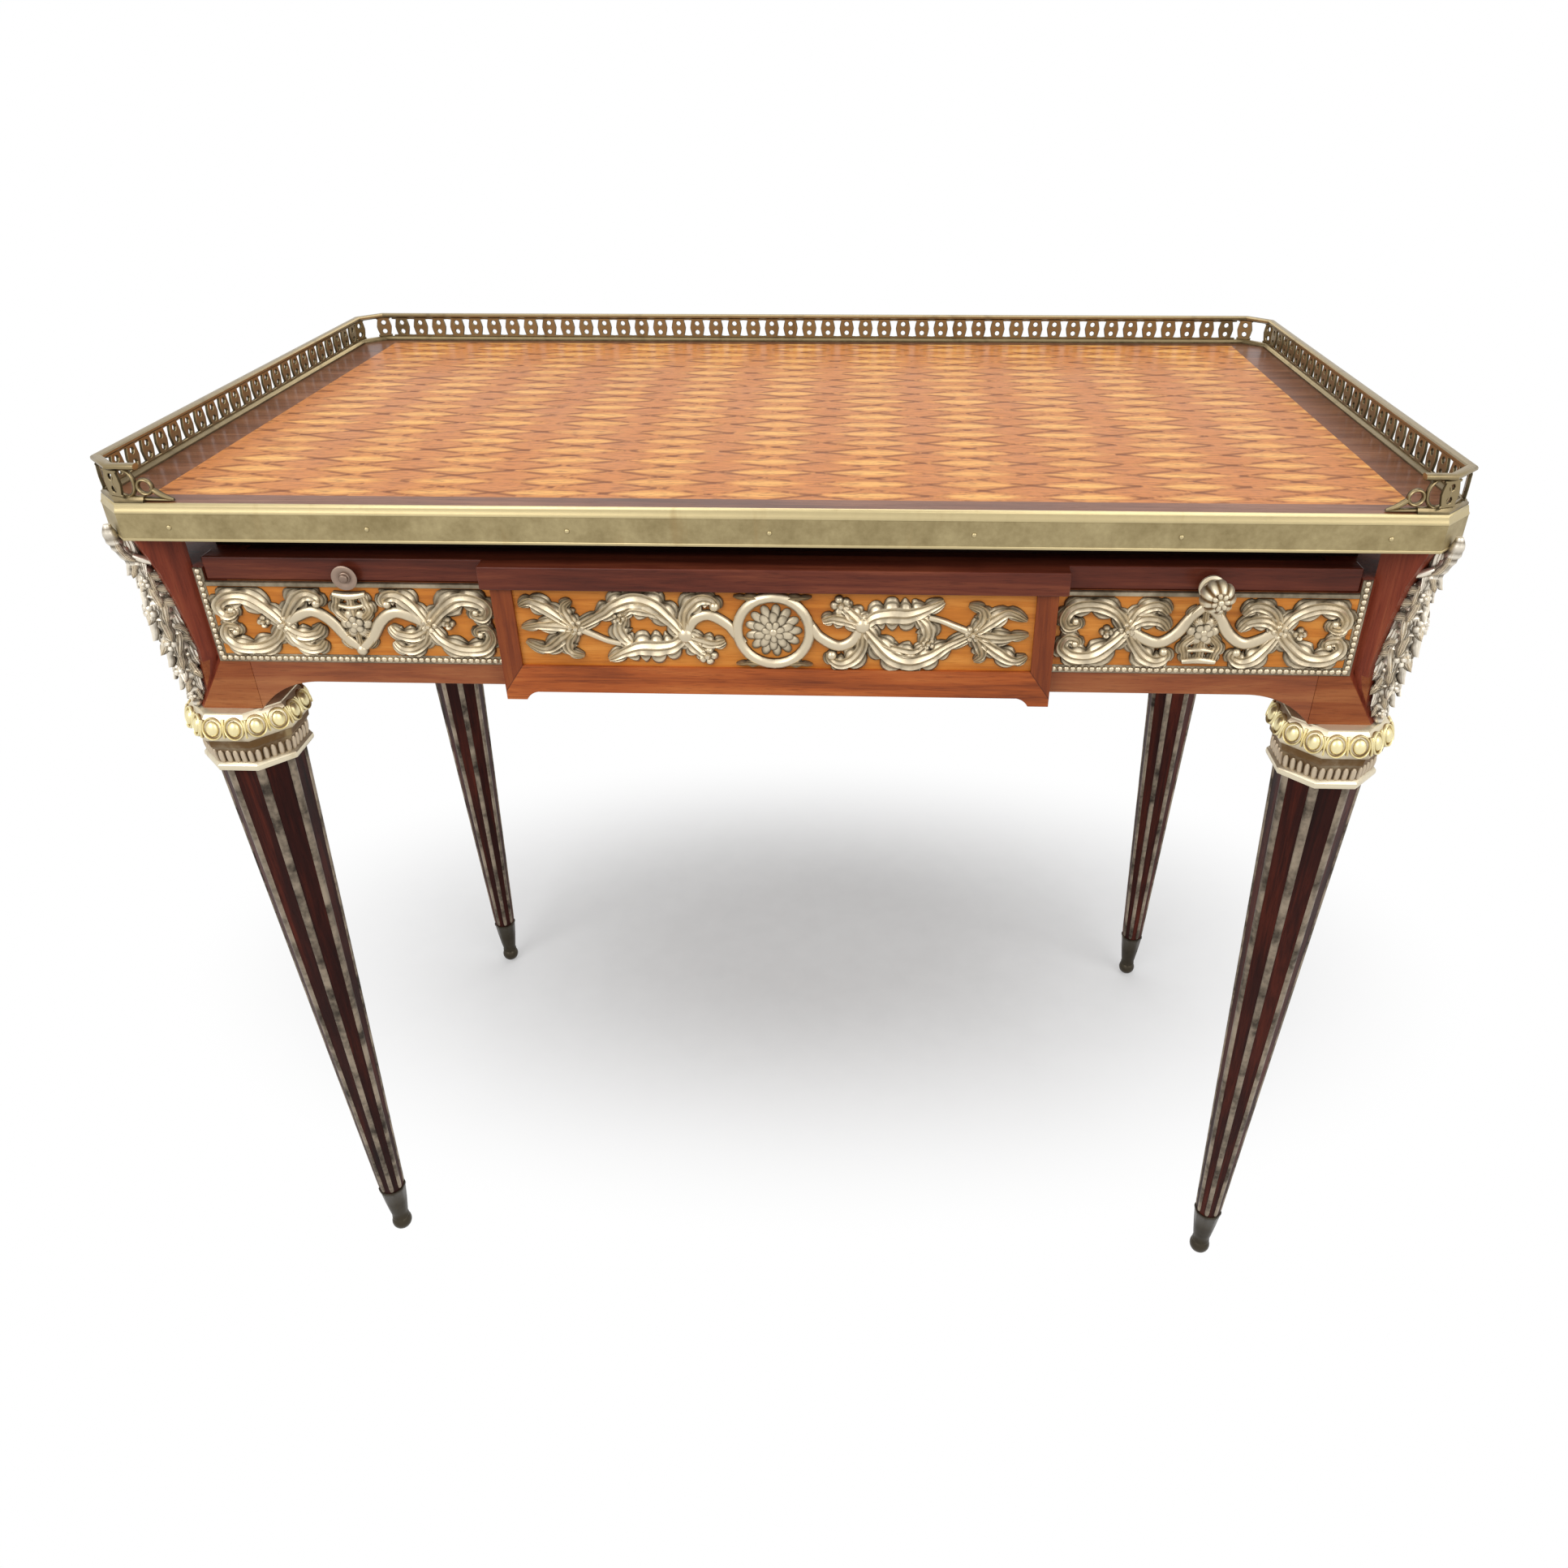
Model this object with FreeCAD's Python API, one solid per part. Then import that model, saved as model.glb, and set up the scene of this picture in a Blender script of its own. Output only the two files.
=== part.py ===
import FreeCAD, Part
import math
import os

os.makedirs("parts", exist_ok=True)
Vector = FreeCAD.Vector

# Driving dimensions of the whole table, millimetres
TABLE_HEIGHT = 760.0         # floor to the writing surface
TOP_WIDTH = 876.0            # outside the brass band
TOP_DEPTH = 484.0            # outside the brass band
TOP_CANT = 21.0              # each corner of the top is cut back this far along both edges
SIDE_OVERHANG = 19.0         # band beyond the outer side of the corner posts
FRONT_OVERHANG = 16.0        # band beyond the front of the corner posts

# Clearances and the overrun of every cut
FIT = 0.2                    # a tenon or spigot in its socket
SLIDE_PLAY = 0.3             # above and below the writing slide
SIDE_PLAY = 0.8              # beside a sliding piece
OVERRUN = 2.0

# Top, veneers and brass band
BAND_HEIGHT = 25.0
BAND_THICKNESS = 3.0
BAND_LIP_HEIGHT = 6.0        # the band's upper moulding, which leans back
BAND_LIP_LEAN = 1.6
VENEER = 1.5
CROSSBAND_SIDE_WIDTH = 34.0
CROSSBAND_END_WIDTH = 16.0
PIN_DIAMETER = 4.0           # round heads that hold the band
PIN_PROUD = 0.9
PIN_SPACING = 130.0

# Pierced gallery round three sides
GALLERY_HEIGHT = 24.5
GALLERY_INSET = 5.5          # centre line of the gallery from the band's outer face
GALLERY_BASE_WIDTH = 7.0
GALLERY_BASE_HEIGHT = 3.5
GALLERY_RAIL_WIDTH = 6.5
GALLERY_RAIL_HEIGHT = 4.0
FRET_THICKNESS = 2.2
FRET_PITCH = 18.0
TERMINAL_LENGTH = 36.0       # scrolled ends on the front edge
TERMINAL_THICKNESS = 3.0

# Neck that lifts the top off the carcass
NECK_HEIGHT = 24.0
NECK_THICKNESS = 20.0
NECK_FRONT_SETBACK = 41.0
NECK_SIDE_SETBACK = 28.0

# Corner posts
POST_SIZE = 52.0
POST_HEIGHT = 107.0
POST_CHAMFER = 32.0          # outer corner, over the frieze
POST_FOOT_CHAMFER = 9.0      # outer corner where it meets the capital
TENON_DIAMETER = 28.0
TENON_LENGTH = 30.0

# Capitals, legs and feet
CAPITAL_HEIGHT = 48.0
CAPITAL_WIDTH = 84.0         # across the flats of the egg moulding
CAPITAL_PROFILE_SHARES = ((1.0, 0.885), (0.93, 0.90), (0.80, 0.985), (0.66, 1.0), (0.54, 0.94),
                          (0.50, 0.87), (0.42, 0.87), (0.40, 0.83), (0.16, 0.775), (0.12, 0.83),
                          (0.02, 0.83), (0.0, 0.80))
LEG_TOP_WIDTH = 57.0         # across the flats, under the capital
LEG_FOOT_WIDTH = 21.5        # across the flats, at the sabot's rim
INLAY_TOP_WIDTH = 7.6        # brass strip on each arris
INLAY_FOOT_WIDTH = 4.6
INLAY_CROWN_SHARE = 0.30     # height of a strip in strip widths
INLAY_FACE_SHARE = 0.62      # flat crown of a strip in strip widths
SABOT_HEIGHT = 44.0
SABOT_WALL = 1.2
SABOT_TOE_WIDTH = 14.5
TOE_BALL_DIAMETER = 18.5
TOE_SEAT_DIAMETER = 7.0      # flat worn on the underside of each ball
TOE_NECK_SHARE = 0.86        # the cup springs from the ball at this share of its height
SPIGOT_LENGTH = 34.0
SPIGOT_TIP_SHARE = 0.68      # tip of the leg's spigot to its root

# Frieze
FRIEZE_HEIGHT = 85.0
RAIL_THICKNESS = 18.0
BRACKET_LENGTH = 46.0        # curved shoulders beside the posts
BEAD_WIDTH = 6.5
BEAD_TOP_WIDTH = 3.5         # the border's plain upper edge
BEAD_PROUD = 3.2
BEAD_RAISE = 16.0            # beaded border above the frieze's lower edge
MOUNT_RELIEF = 5.0           # gilt mounts in front of their panel

# Breakfront drawer
BREAK_WIDTH = 372.0
BREAK_PROUD = 10.0
STILE_WIDTH = 14.0
DRAWER_RAIL_HEIGHT = 20.0
PANEL_RECESS = 2.5
STILE_FOOT_DROP = 6.0        # stiles below the drawer's lower edge
STILE_FOOT_CURVE = 8.0
PARTITION_THICKNESS = 14.0
RUNNER_WIDTH = 16.0
RUNNER_HEIGHT = 8.0
DRAWER_SIDE_THICKNESS = 9.0
DRAWER_BOTTOM_THICKNESS = 6.0
DRAWER_BOTTOM_RAISE = 5.0
DRAWER_SIDE_DROP = 8.0       # drawer sides below the slide
DRAWER_BACK_GAP = 38.0       # drawer box ahead of the back rail

# Writing slide
SLIDE_THICKNESS = 8.4
SLIDE_BACK_GAP = 60.0        # slide ahead of the back rail
STRIP_DEPTH = 14.0           # front moulding of the slide
STRIP_OVERLAP = 6.0          # projecting middle of the moulding beyond the drawer
STRIP_PROUD = 3.0
STRIP_RISE = 8.0             # front moulding above the slide's board
LEATHER_THICKNESS = 1.0
LEATHER_MARGIN = 30.0
KNOB_DIAMETER = 23.0
KNOB_REACH = 20.0            # ball centre in front of the moulding
KNOB_PLATE_DIAMETER = 17.0
KNOB_PLATE_THICKNESS = 2.0
KNOB_NECK_DIAMETER = 7.0
KNOB_HUB_DIAMETER = 8.6      # holds the plate clear of the beaded border
STUD_DIAMETER = 6.0
STUD_LENGTH = 8.0

# Levels, from the floor
TOP_UNDERSIDE = TABLE_HEIGHT - BAND_HEIGHT
CARCASS_TOP = TOP_UNDERSIDE - NECK_HEIGHT
CAPITAL_TOP = CARCASS_TOP - POST_HEIGHT
LEG_TOP = CAPITAL_TOP - CAPITAL_HEIGHT
FRIEZE_BOTTOM = CARCASS_TOP - FRIEZE_HEIGHT
RAIL_TOP = CARCASS_TOP - SLIDE_THICKNESS - 2 * SLIDE_PLAY
SLIDE_BOTTOM = RAIL_TOP + SLIDE_PLAY
SLIDE_TOP = SLIDE_BOTTOM + SLIDE_THICKNESS
BEAD_BOTTOM = FRIEZE_BOTTOM + BEAD_RAISE
PANEL_BOTTOM = BEAD_BOTTOM + BEAD_WIDTH
PANEL_TOP = RAIL_TOP - BEAD_TOP_WIDTH
TOE_TOP = TOE_BALL_DIAMETER * TOE_NECK_SHARE
SABOT_TOP = TOE_TOP + SABOT_HEIGHT

# Places in plan, from the middle of the top
POST_SIDE = TOP_WIDTH / 2 - SIDE_OVERHANG
POST_FRONT = TOP_DEPTH / 2 - FRONT_OVERHANG
LEG_X = POST_SIDE - POST_SIZE / 2
LEG_Y = POST_FRONT - POST_SIZE / 2
POST_INNER_X = POST_SIDE - POST_SIZE
POST_INNER_Y = POST_FRONT - POST_SIZE
RAIL_INNER_Y = POST_FRONT - RAIL_THICKNESS
OPENING_HALF = BREAK_WIDTH / 2 + SIDE_PLAY
BEAD_OUTER_X = POST_SIDE - POST_CHAMFER
BEAD_INNER_X = BEAD_OUTER_X - BEAD_WIDTH
STRIP_HALF = BEAD_INNER_X - SIDE_PLAY
DRAWER_FRONT = POST_FRONT + BREAK_PROUD
STRIP_FRONT = DRAWER_FRONT + STRIP_PROUD
KNOB_X = (OPENING_HALF + BEAD_INNER_X) / 2
KNOB_Z = SLIDE_BOTTOM + KNOB_HUB_DIAMETER / 2

# The origin is under the middle of the whole outline, and the knob reaches past the top
FRONT_REACH = POST_FRONT + KNOB_REACH + KNOB_DIAMETER / 2
BACK_REACH = TOP_DEPTH / 2 + PIN_PROUD
ORIGIN_SHIFT = Vector(0, (FRONT_REACH - BACK_REACH) / 2, 0)
X_PLANE = Vector(1, 0, 0)
Y_PLANE = Vector(0, 1, 0)
CENTRE = Vector(0, 0, 0)

nodes = {}


def keep(name, shape):
    """Keeps a finished piece under its node name."""
    nodes[name] = shape


def box(low, high):
    """Box between two corners."""
    size = [b - a for a, b in zip(low, high)]
    return Part.makeBox(size[0], size[1], size[2], Vector(*low))


def polygon_face(points):
    """Flat face through points in space."""
    return Part.Face(Part.makePolygon(list(points) + [points[0]]))


def prism(outline, low, high):
    """Upright prism of a plan outline between two levels."""
    return polygon_face([Vector(x, y, low) for x, y in outline]).extrude(Vector(0, 0, high - low))


def ruled(sections):
    """Solid through polygons given as lists of points."""
    wires = [Part.makePolygon(list(points) + [points[0]]) for points in sections]
    return Part.makeLoft(wires, True, True)


def mirrored_x(shape):
    """The same piece on the other side of the table."""
    return shape.mirror(CENTRE, X_PLANE)


def mirrored_y(shape):
    """The same piece at the other end of the depth."""
    return shape.mirror(CENTRE, Y_PLANE)


def fused(shapes):
    """One shape from several that meet."""
    whole = shapes[0]
    if len(shapes) > 1:
        whole = whole.multiFuse(shapes[1:])
    return whole.removeSplitter()


def keep_corners(name, front_left, back_left=None):
    """Keeps a corner piece four times, from its front left form."""
    back = back_left or mirrored_y(front_left)
    keep(name + "_front_left", front_left)
    keep(name + "_front_right", mirrored_x(front_left))
    keep(name + "_back_left", back)
    keep(name + "_back_right", mirrored_x(back))


def canted_outline(inset):
    """Plan of the top with its canted corners, set in evenly."""
    x = TOP_WIDTH / 2 - inset
    y = TOP_DEPTH / 2 - inset
    cant = TOP_CANT - inset * (2 - math.sqrt(2))
    return [(x - cant, -y), (x, cant - y), (x, y - cant), (x - cant, y),
            (cant - x, y), (-x, y - cant), (-x, cant - y), (cant - x, -y)]


def octagon(x, y, z, width):
    """Corners of a level octagon with flats square to the table."""
    radius = width / 2 / math.cos(math.pi / 8)
    angles = [math.pi / 8 + k * math.pi / 4 for k in range(8)]
    return [Vector(x + radius * math.cos(a), y + radius * math.sin(a), z) for a in angles]


def level(outline, z):
    """Plan outline as points at one level."""
    return [Vector(x, y, z) for x, y in outline]


# Top board, veneers and band
def make_top():
    lip_level = TABLE_HEIGHT - BAND_LIP_HEIGHT
    field_x = TOP_WIDTH / 2 - BAND_THICKNESS - CROSSBAND_SIDE_WIDTH
    field_y = TOP_DEPTH / 2 - BAND_THICKNESS - CROSSBAND_END_WIDTH
    veneer_level = TABLE_HEIGHT - VENEER
    core_outline = canted_outline(BAND_THICKNESS)
    keep("top_board", prism(core_outline, TOP_UNDERSIDE, veneer_level))
    field = box((-field_x, -field_y, veneer_level), (field_x, field_y, TABLE_HEIGHT))
    keep("parquetry_field", field)
    keep("crossband_border", prism(core_outline, veneer_level, TABLE_HEIGHT).cut(field))
    fascia = prism(canted_outline(0), TOP_UNDERSIDE, lip_level)
    lip = ruled([level(canted_outline(0), lip_level), level(canted_outline(BAND_LIP_LEAN), TABLE_HEIGHT)])
    hole = prism(core_outline, TOP_UNDERSIDE - OVERRUN, TABLE_HEIGHT + OVERRUN)
    keep("brass_band", fused([fascia, lip]).cut(hole))
    keep("band_pins", Part.makeCompound(make_pins((TOP_UNDERSIDE + lip_level) / 2)))


def make_pins(z):
    """Round pin heads along the four long faces of the band."""
    pins = []
    runs = ((TOP_WIDTH, TOP_DEPTH, X_PLANE, Y_PLANE), (TOP_DEPTH, TOP_WIDTH, Y_PLANE, X_PLANE))
    for length, across, along, outward in runs:
        usable = length - 2 * TOP_CANT - PIN_SPACING / 2
        count = max(2, round(usable / PIN_SPACING) + 1)
        for k in range(count):
            place = along * (usable * (k / (count - 1) - 1 / 2))
            for side in (-1, 1):
                face = place + outward * (side * across / 2) + Vector(0, 0, z)
                pins.append(Part.makeCylinder(PIN_DIAMETER / 2, PIN_PROUD, face, outward * side))
    return pins


# Gallery
def gallery_ring(width, low, high):
    """Rail of one width all round the centre line of the gallery."""
    outer = prism(canted_outline(GALLERY_INSET - width / 2), low, high)
    return outer.cut(prism(canted_outline(GALLERY_INSET + width / 2), low - OVERRUN, high + OVERRUN))


def fret_holes(start, end, low, high):
    """Piercings of one straight run: a waisted slot and a pair of round holes in every pitch."""
    run = end - start
    cells = max(1, round(run.Length / FRET_PITCH))
    pitch = run.Length / cells
    along = run.normalize()
    normal = Vector(-along.y, along.x, 0)
    height = high - low
    back_off = normal * (-FRET_THICKNESS)
    slot_half_share, waist_half_share, slot_rise_share = 0.21, 0.11, 0.42
    hole_radius_share, hole_rise_share, hole_place_share = 0.12, 0.24, 0.5
    cutters = []
    for k in range(cells):
        middle = start + along * (pitch * (k + 1 / 2)) + Vector(0, 0, low + height / 2) + back_off
        rise = Vector(0, 0, height * slot_rise_share)
        end_half = along * (pitch * slot_half_share)
        waist = along * (pitch * waist_half_share)
        edges = [Part.makeLine(middle - end_half - rise, middle + end_half - rise),
                 Part.Arc(middle + end_half - rise, middle + waist, middle + end_half + rise).toShape(),
                 Part.makeLine(middle + end_half + rise, middle - end_half + rise),
                 Part.Arc(middle - end_half + rise, middle - waist, middle - end_half - rise).toShape()]
        cutters.append(Part.Face(Part.Wire(edges)).extrude(normal * (2 * FRET_THICKNESS)))
        if k + 1 < cells:
            link = middle + along * (pitch * hole_place_share)
            for side in (-1, 1):
                place = link + Vector(0, 0, side * height * hole_rise_share)
                hole = Part.makeCylinder(pitch * hole_radius_share, 2 * FRET_THICKNESS, place, normal)
                cutters.append(hole)
    return cutters


def make_terminal(corner_x, edge_y, low):
    """Scrolled end of the gallery on the left of the front edge: an oval ring, a small ring and a tail."""
    oval_width_share, oval_height_share, ring_share, lift_share = 0.42, 0.56, 0.16, 0.10
    wall_share, lap_share, tail_share, sag_share = 0.30, 0.12, 0.45, 0.035
    half_width = TERMINAL_LENGTH * oval_width_share / 2
    half_height = TERMINAL_LENGTH * oval_height_share / 2
    ring = TERMINAL_LENGTH * ring_share
    outward = Vector(0, -1, 0)
    through = outward * TERMINAL_THICKNESS
    face_y = edge_y + TERMINAL_THICKNESS / 2
    oval_x = corner_x + half_width * (1 - lap_share)
    ring_x = oval_x + half_width + ring * (1 - lap_share)
    oval_middle = Vector(oval_x, face_y, low + half_height + TERMINAL_LENGTH * lift_share / 2)
    ring_middle = Vector(ring_x, face_y, low + ring + TERMINAL_LENGTH * lift_share)
    wall = half_width * wall_share
    pieces = [upright_oval(oval_middle, half_width, half_height).extrude(through)]
    pieces.append(Part.makeCylinder(ring, TERMINAL_THICKNESS, ring_middle, outward))
    holes = [upright_oval(oval_middle, half_width - wall, half_height - wall).extrude(through)]
    holes.append(Part.makeCylinder(ring - wall, TERMINAL_THICKNESS, ring_middle, outward))
    tip = Vector(corner_x + TERMINAL_LENGTH, face_y, low)
    heel = Vector(oval_x, face_y, low)
    crest = ring_middle + Vector(ring * tail_share, 0, 0)
    sag = (crest + tip) * (1 / 2) - Vector(TERMINAL_LENGTH * sag_share, 0, TERMINAL_LENGTH * sag_share)
    edges = [Part.makeLine(heel, tip), Part.Arc(tip, sag, crest).toShape(), Part.makeLine(crest, heel)]
    pieces.append(Part.Face(Part.Wire(edges)).extrude(through))
    return fused(pieces).cut(Part.makeCompound(holes)), oval_x + half_width


def upright_oval(middle, half_width, half_height):
    """Upright oval face square to the front."""
    curve = Part.Ellipse(middle + Vector(0, 0, half_height), middle + Vector(half_width, 0, 0), middle)
    return Part.Face(Part.Wire([curve.toShape()]))


def make_gallery():
    base_top = TABLE_HEIGHT + GALLERY_BASE_HEIGHT
    gallery_top = TABLE_HEIGHT + GALLERY_HEIGHT
    rail_bottom = gallery_top - GALLERY_RAIL_HEIGHT
    base = gallery_ring(GALLERY_BASE_WIDTH, TABLE_HEIGHT, base_top)
    fret = gallery_ring(FRET_THICKNESS, base_top, rail_bottom)
    rail = gallery_ring(GALLERY_RAIL_WIDTH, rail_bottom, gallery_top)
    centre = [Vector(x, y, 0) for x, y in canted_outline(GALLERY_INSET)]
    front_left, side_front, side_back, back_left = centre[7], centre[6], centre[5], centre[4]
    back_run = [back_left, Vector(-back_left.x, back_left.y, 0)]
    left_runs = [[front_left, side_front], [side_front, side_back], [side_back, back_left]]
    left_holes = []
    for start, end in left_runs:
        left_holes.extend(fret_holes(start, end, base_top, rail_bottom))
    back_holes = fret_holes(back_run[0], back_run[1], base_top, rail_bottom)
    reach = TOP_WIDTH + TOP_DEPTH
    side_cut = box((-reach, -reach, 0), (front_left.x, reach, TABLE_HEIGHT + reach))
    back_cut = box((front_left.x, 0, 0), (-front_left.x, reach, TABLE_HEIGHT + reach))
    terminal, rail_end = make_terminal(front_left.x, front_left.y, TABLE_HEIGHT)
    front_cut = box((front_left.x, -reach, 0), (rail_end, 0, TABLE_HEIGHT + reach))
    end_cut = side_cut.fuse(front_cut)
    left_parts = [base.common(end_cut), rail.common(end_cut)]
    left_parts.append(fret.common(side_cut).cut(Part.makeCompound(left_holes)))
    left_parts.append(terminal)
    left = fused(left_parts)
    back_fret = fret.common(back_cut).cut(Part.makeCompound(back_holes))
    keep("gallery_left", left)
    keep("gallery_right", mirrored_x(left))
    keep("gallery_back", fused([base.common(back_cut), back_fret, rail.common(back_cut)]))


# Neck frame under the top
def make_neck():
    side_x = POST_SIDE - NECK_SIDE_SETBACK
    front_y = POST_FRONT - NECK_FRONT_SETBACK
    inner_x = side_x - NECK_THICKNESS
    front = box((-inner_x, -front_y, CARCASS_TOP), (inner_x, NECK_THICKNESS - front_y, TOP_UNDERSIDE))
    side = box((-side_x, -front_y, CARCASS_TOP), (-inner_x, front_y, TOP_UNDERSIDE))
    keep("neck_front_rail", front)
    keep("neck_back_rail", mirrored_y(front))
    keep("neck_side_rails", Part.makeCompound([side, mirrored_x(side)]))


# Corner posts and their gilt pendants
def post_outline(chamfer):
    """Plan of the front left post with its outer corner cut."""
    return [(-POST_INNER_X, -POST_FRONT), (-POST_INNER_X, -POST_INNER_Y), (-POST_SIDE, -POST_INNER_Y),
            (-POST_SIDE, chamfer - POST_FRONT), (chamfer - POST_SIDE, -POST_FRONT)]


def make_post():
    """Front left post with a chamfer that runs out towards the capital."""
    shaft = prism(post_outline(POST_CHAMFER), BEAD_BOTTOM, CARCASS_TOP)
    foot = ruled([level(post_outline(POST_FOOT_CHAMFER), CAPITAL_TOP),
                  level(post_outline(POST_CHAMFER), BEAD_BOTTOM)])
    return fused([shaft, foot, make_console()])


def make_console():
    """Coved bracket on the front left chamfer that flares out under the corner of the top."""
    flare_shares = ((0.12, 0.01), (0.26, 0.14), (0.43, 0.22), (0.62, 0.27), (0.80, 0.33), (1.0, 0.42))
    head_share, half_width_share, embed_share = 0.60, 0.40, 0.03
    stations = [(CAPITAL_TOP + POST_HEIGHT * rise, out) for rise, out in flare_shares]
    stations.append((TOP_UNDERSIDE, head_share))
    face_width = POST_CHAMFER * math.sqrt(2)
    outward = Vector(-1, -1, 0).normalize()
    rings = []
    for z, out_share in stations:
        middle = chamfer_middle(z)
        along = Vector(1, -1, 0) * (2 * (middle.x + POST_SIDE) * half_width_share)
        inner = middle - outward * (face_width * embed_share)
        outer = middle + outward * (face_width * out_share)
        rings.append([inner - along, inner + along, outer + along, outer - along])
    return ruled(rings)


def tenon_socket():
    """Round socket for the tenon in the foot of the front left post."""
    low = Vector(-LEG_X, -LEG_Y, CAPITAL_TOP - OVERRUN)
    return Part.makeCylinder(TENON_DIAMETER / 2 + FIT, TENON_LENGTH + FIT + OVERRUN, low)


def chamfer_middle(z):
    """Middle of the front left chamfer at a level."""
    run_out = max(0.0, min(1.0, (z - CAPITAL_TOP) / (BEAD_BOTTOM - CAPITAL_TOP)))
    chamfer = POST_FOOT_CHAMFER + (POST_CHAMFER - POST_FOOT_CHAMFER) * run_out
    return Vector(chamfer / 2 - POST_SIDE, chamfer / 2 - POST_FRONT, z)


def make_pendant(post):
    """Drop of flowers that stands off the chamfer, with a stem that clasps the corner of the top."""
    drop_shares = ((0.0, 0.03, 0.14), (0.05, 0.05, 0.24), (0.15, 0.14, 0.34), (0.26, 0.26, 0.41),
                   (0.38, 0.33, 0.47), (0.51, 0.36, 0.51), (0.64, 0.40, 0.52), (0.77, 0.45, 0.47),
                   (0.88, 0.47, 0.39), (0.98, 0.50, 0.30))
    stem_shares = ((0.40, 0.62, 0.24), (1.0, 0.80, 0.22))
    tip_rise_share, tip_out_share, tip_width_share = 0.30, 0.88, 0.18
    stations = [(CAPITAL_TOP + POST_HEIGHT * rise, out, width) for rise, out, width in drop_shares]
    stations.extend([(CARCASS_TOP + NECK_HEIGHT * rise, out, width) for rise, out, width in stem_shares])
    stations.append((TOP_UNDERSIDE + BAND_HEIGHT * tip_rise_share, tip_out_share, tip_width_share))
    face_width = POST_CHAMFER * math.sqrt(2)
    outward = Vector(-1, -1, 0).normalize()
    rings = []
    for z, out_share, width_share in stations:
        place = chamfer_middle(z) + outward * (face_width * out_share)
        rings.append(octagon(place.x, place.y, z, face_width * width_share))
    top = prism(canted_outline(0), TOP_UNDERSIDE, TABLE_HEIGHT)
    return ruled(rings).cut(top).cut(post)


def slide_notch():
    """Notch at the top of a front post that receives the end of the slide's moulding."""
    low = (-STRIP_HALF - SIDE_PLAY, -POST_FRONT - OVERRUN, RAIL_TOP)
    high = (-POST_INNER_X + OVERRUN, STRIP_DEPTH + SIDE_PLAY - POST_FRONT, CARCASS_TOP + OVERRUN)
    return box(low, high)


def make_corners():
    solid_post = make_post()
    post = solid_post.cut(tenon_socket())
    keep_corners("corner_post", post.cut(slide_notch()), mirrored_y(post))
    keep_corners("corner_pendant", make_pendant(solid_post))


# Capitals, legs, brass strips and sabots
def make_capital():
    """Eight-sided capital, an egg moulding over a leaf moulding, bored for the tenon."""
    sections = []
    for z_share, width_share in reversed(CAPITAL_PROFILE_SHARES):
        z = LEG_TOP + CAPITAL_HEIGHT * z_share
        sections.append(octagon(-LEG_X, -LEG_Y, z, CAPITAL_WIDTH * width_share))
    low = Vector(-LEG_X, -LEG_Y, LEG_TOP - OVERRUN)
    bore = Part.makeCylinder(TENON_DIAMETER / 2 + FIT, CAPITAL_HEIGHT + 2 * OVERRUN, low)
    return ruled(sections).cut(bore)


def arris_points(width, strip, z):
    """For each arris of a leg section, the two edges of the flat that carries a brass strip."""
    corners = octagon(-LEG_X, -LEG_Y, z, width)
    step = strip / 2 / math.cos(math.pi / 8)
    pairs = []
    for k in range(8):
        before = (corners[k - 1] - corners[k]).normalize()
        after = (corners[(k + 1) % 8] - corners[k]).normalize()
        pairs.append((corners[k] + before * step, corners[k] + after * step))
    return pairs


def make_leg():
    """Tapered eight-sided leg with flats on its arrises, a tenon above and a spigot below."""
    top = arris_points(LEG_TOP_WIDTH, INLAY_TOP_WIDTH, LEG_TOP)
    foot = arris_points(LEG_FOOT_WIDTH, INLAY_FOOT_WIDTH, SABOT_TOP)
    shaft = ruled([[p for pair in foot for p in pair], [p for pair in top for p in pair]])
    root = LEG_FOOT_WIDTH - 2 * SABOT_WALL
    spigot = ruled([octagon(-LEG_X, -LEG_Y, SABOT_TOP - SPIGOT_LENGTH, root * SPIGOT_TIP_SHARE),
                    octagon(-LEG_X, -LEG_Y, SABOT_TOP, root)])
    tenon = Part.makeCylinder(TENON_DIAMETER / 2, CAPITAL_HEIGHT + TENON_LENGTH,
                              Vector(-LEG_X, -LEG_Y, LEG_TOP))
    return fused([shaft, spigot, tenon])


def strip_section(pair, strip):
    """Section of a brass strip on one arris: wide at the leg, narrower at its crown."""
    first, second = pair
    middle = (first + second) * (1 / 2)
    axis = Vector(-LEG_X, -LEG_Y, middle.z)
    outward = (middle - axis).normalize() * (strip * INLAY_CROWN_SHARE)
    half = (second - first) * (INLAY_FACE_SHARE / 2)
    return [first, second, middle + half + outward, middle - half + outward]


def make_strips():
    """Eight brass strips on the arrises of the front left leg."""
    top = arris_points(LEG_TOP_WIDTH, INLAY_TOP_WIDTH, LEG_TOP)
    foot = arris_points(LEG_FOOT_WIDTH, INLAY_FOOT_WIDTH, SABOT_TOP)
    strips = []
    for above, below in zip(top, foot):
        sections = [strip_section(below, INLAY_FOOT_WIDTH), strip_section(above, INLAY_TOP_WIDTH)]
        strips.append(ruled(sections))
    return strips


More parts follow.
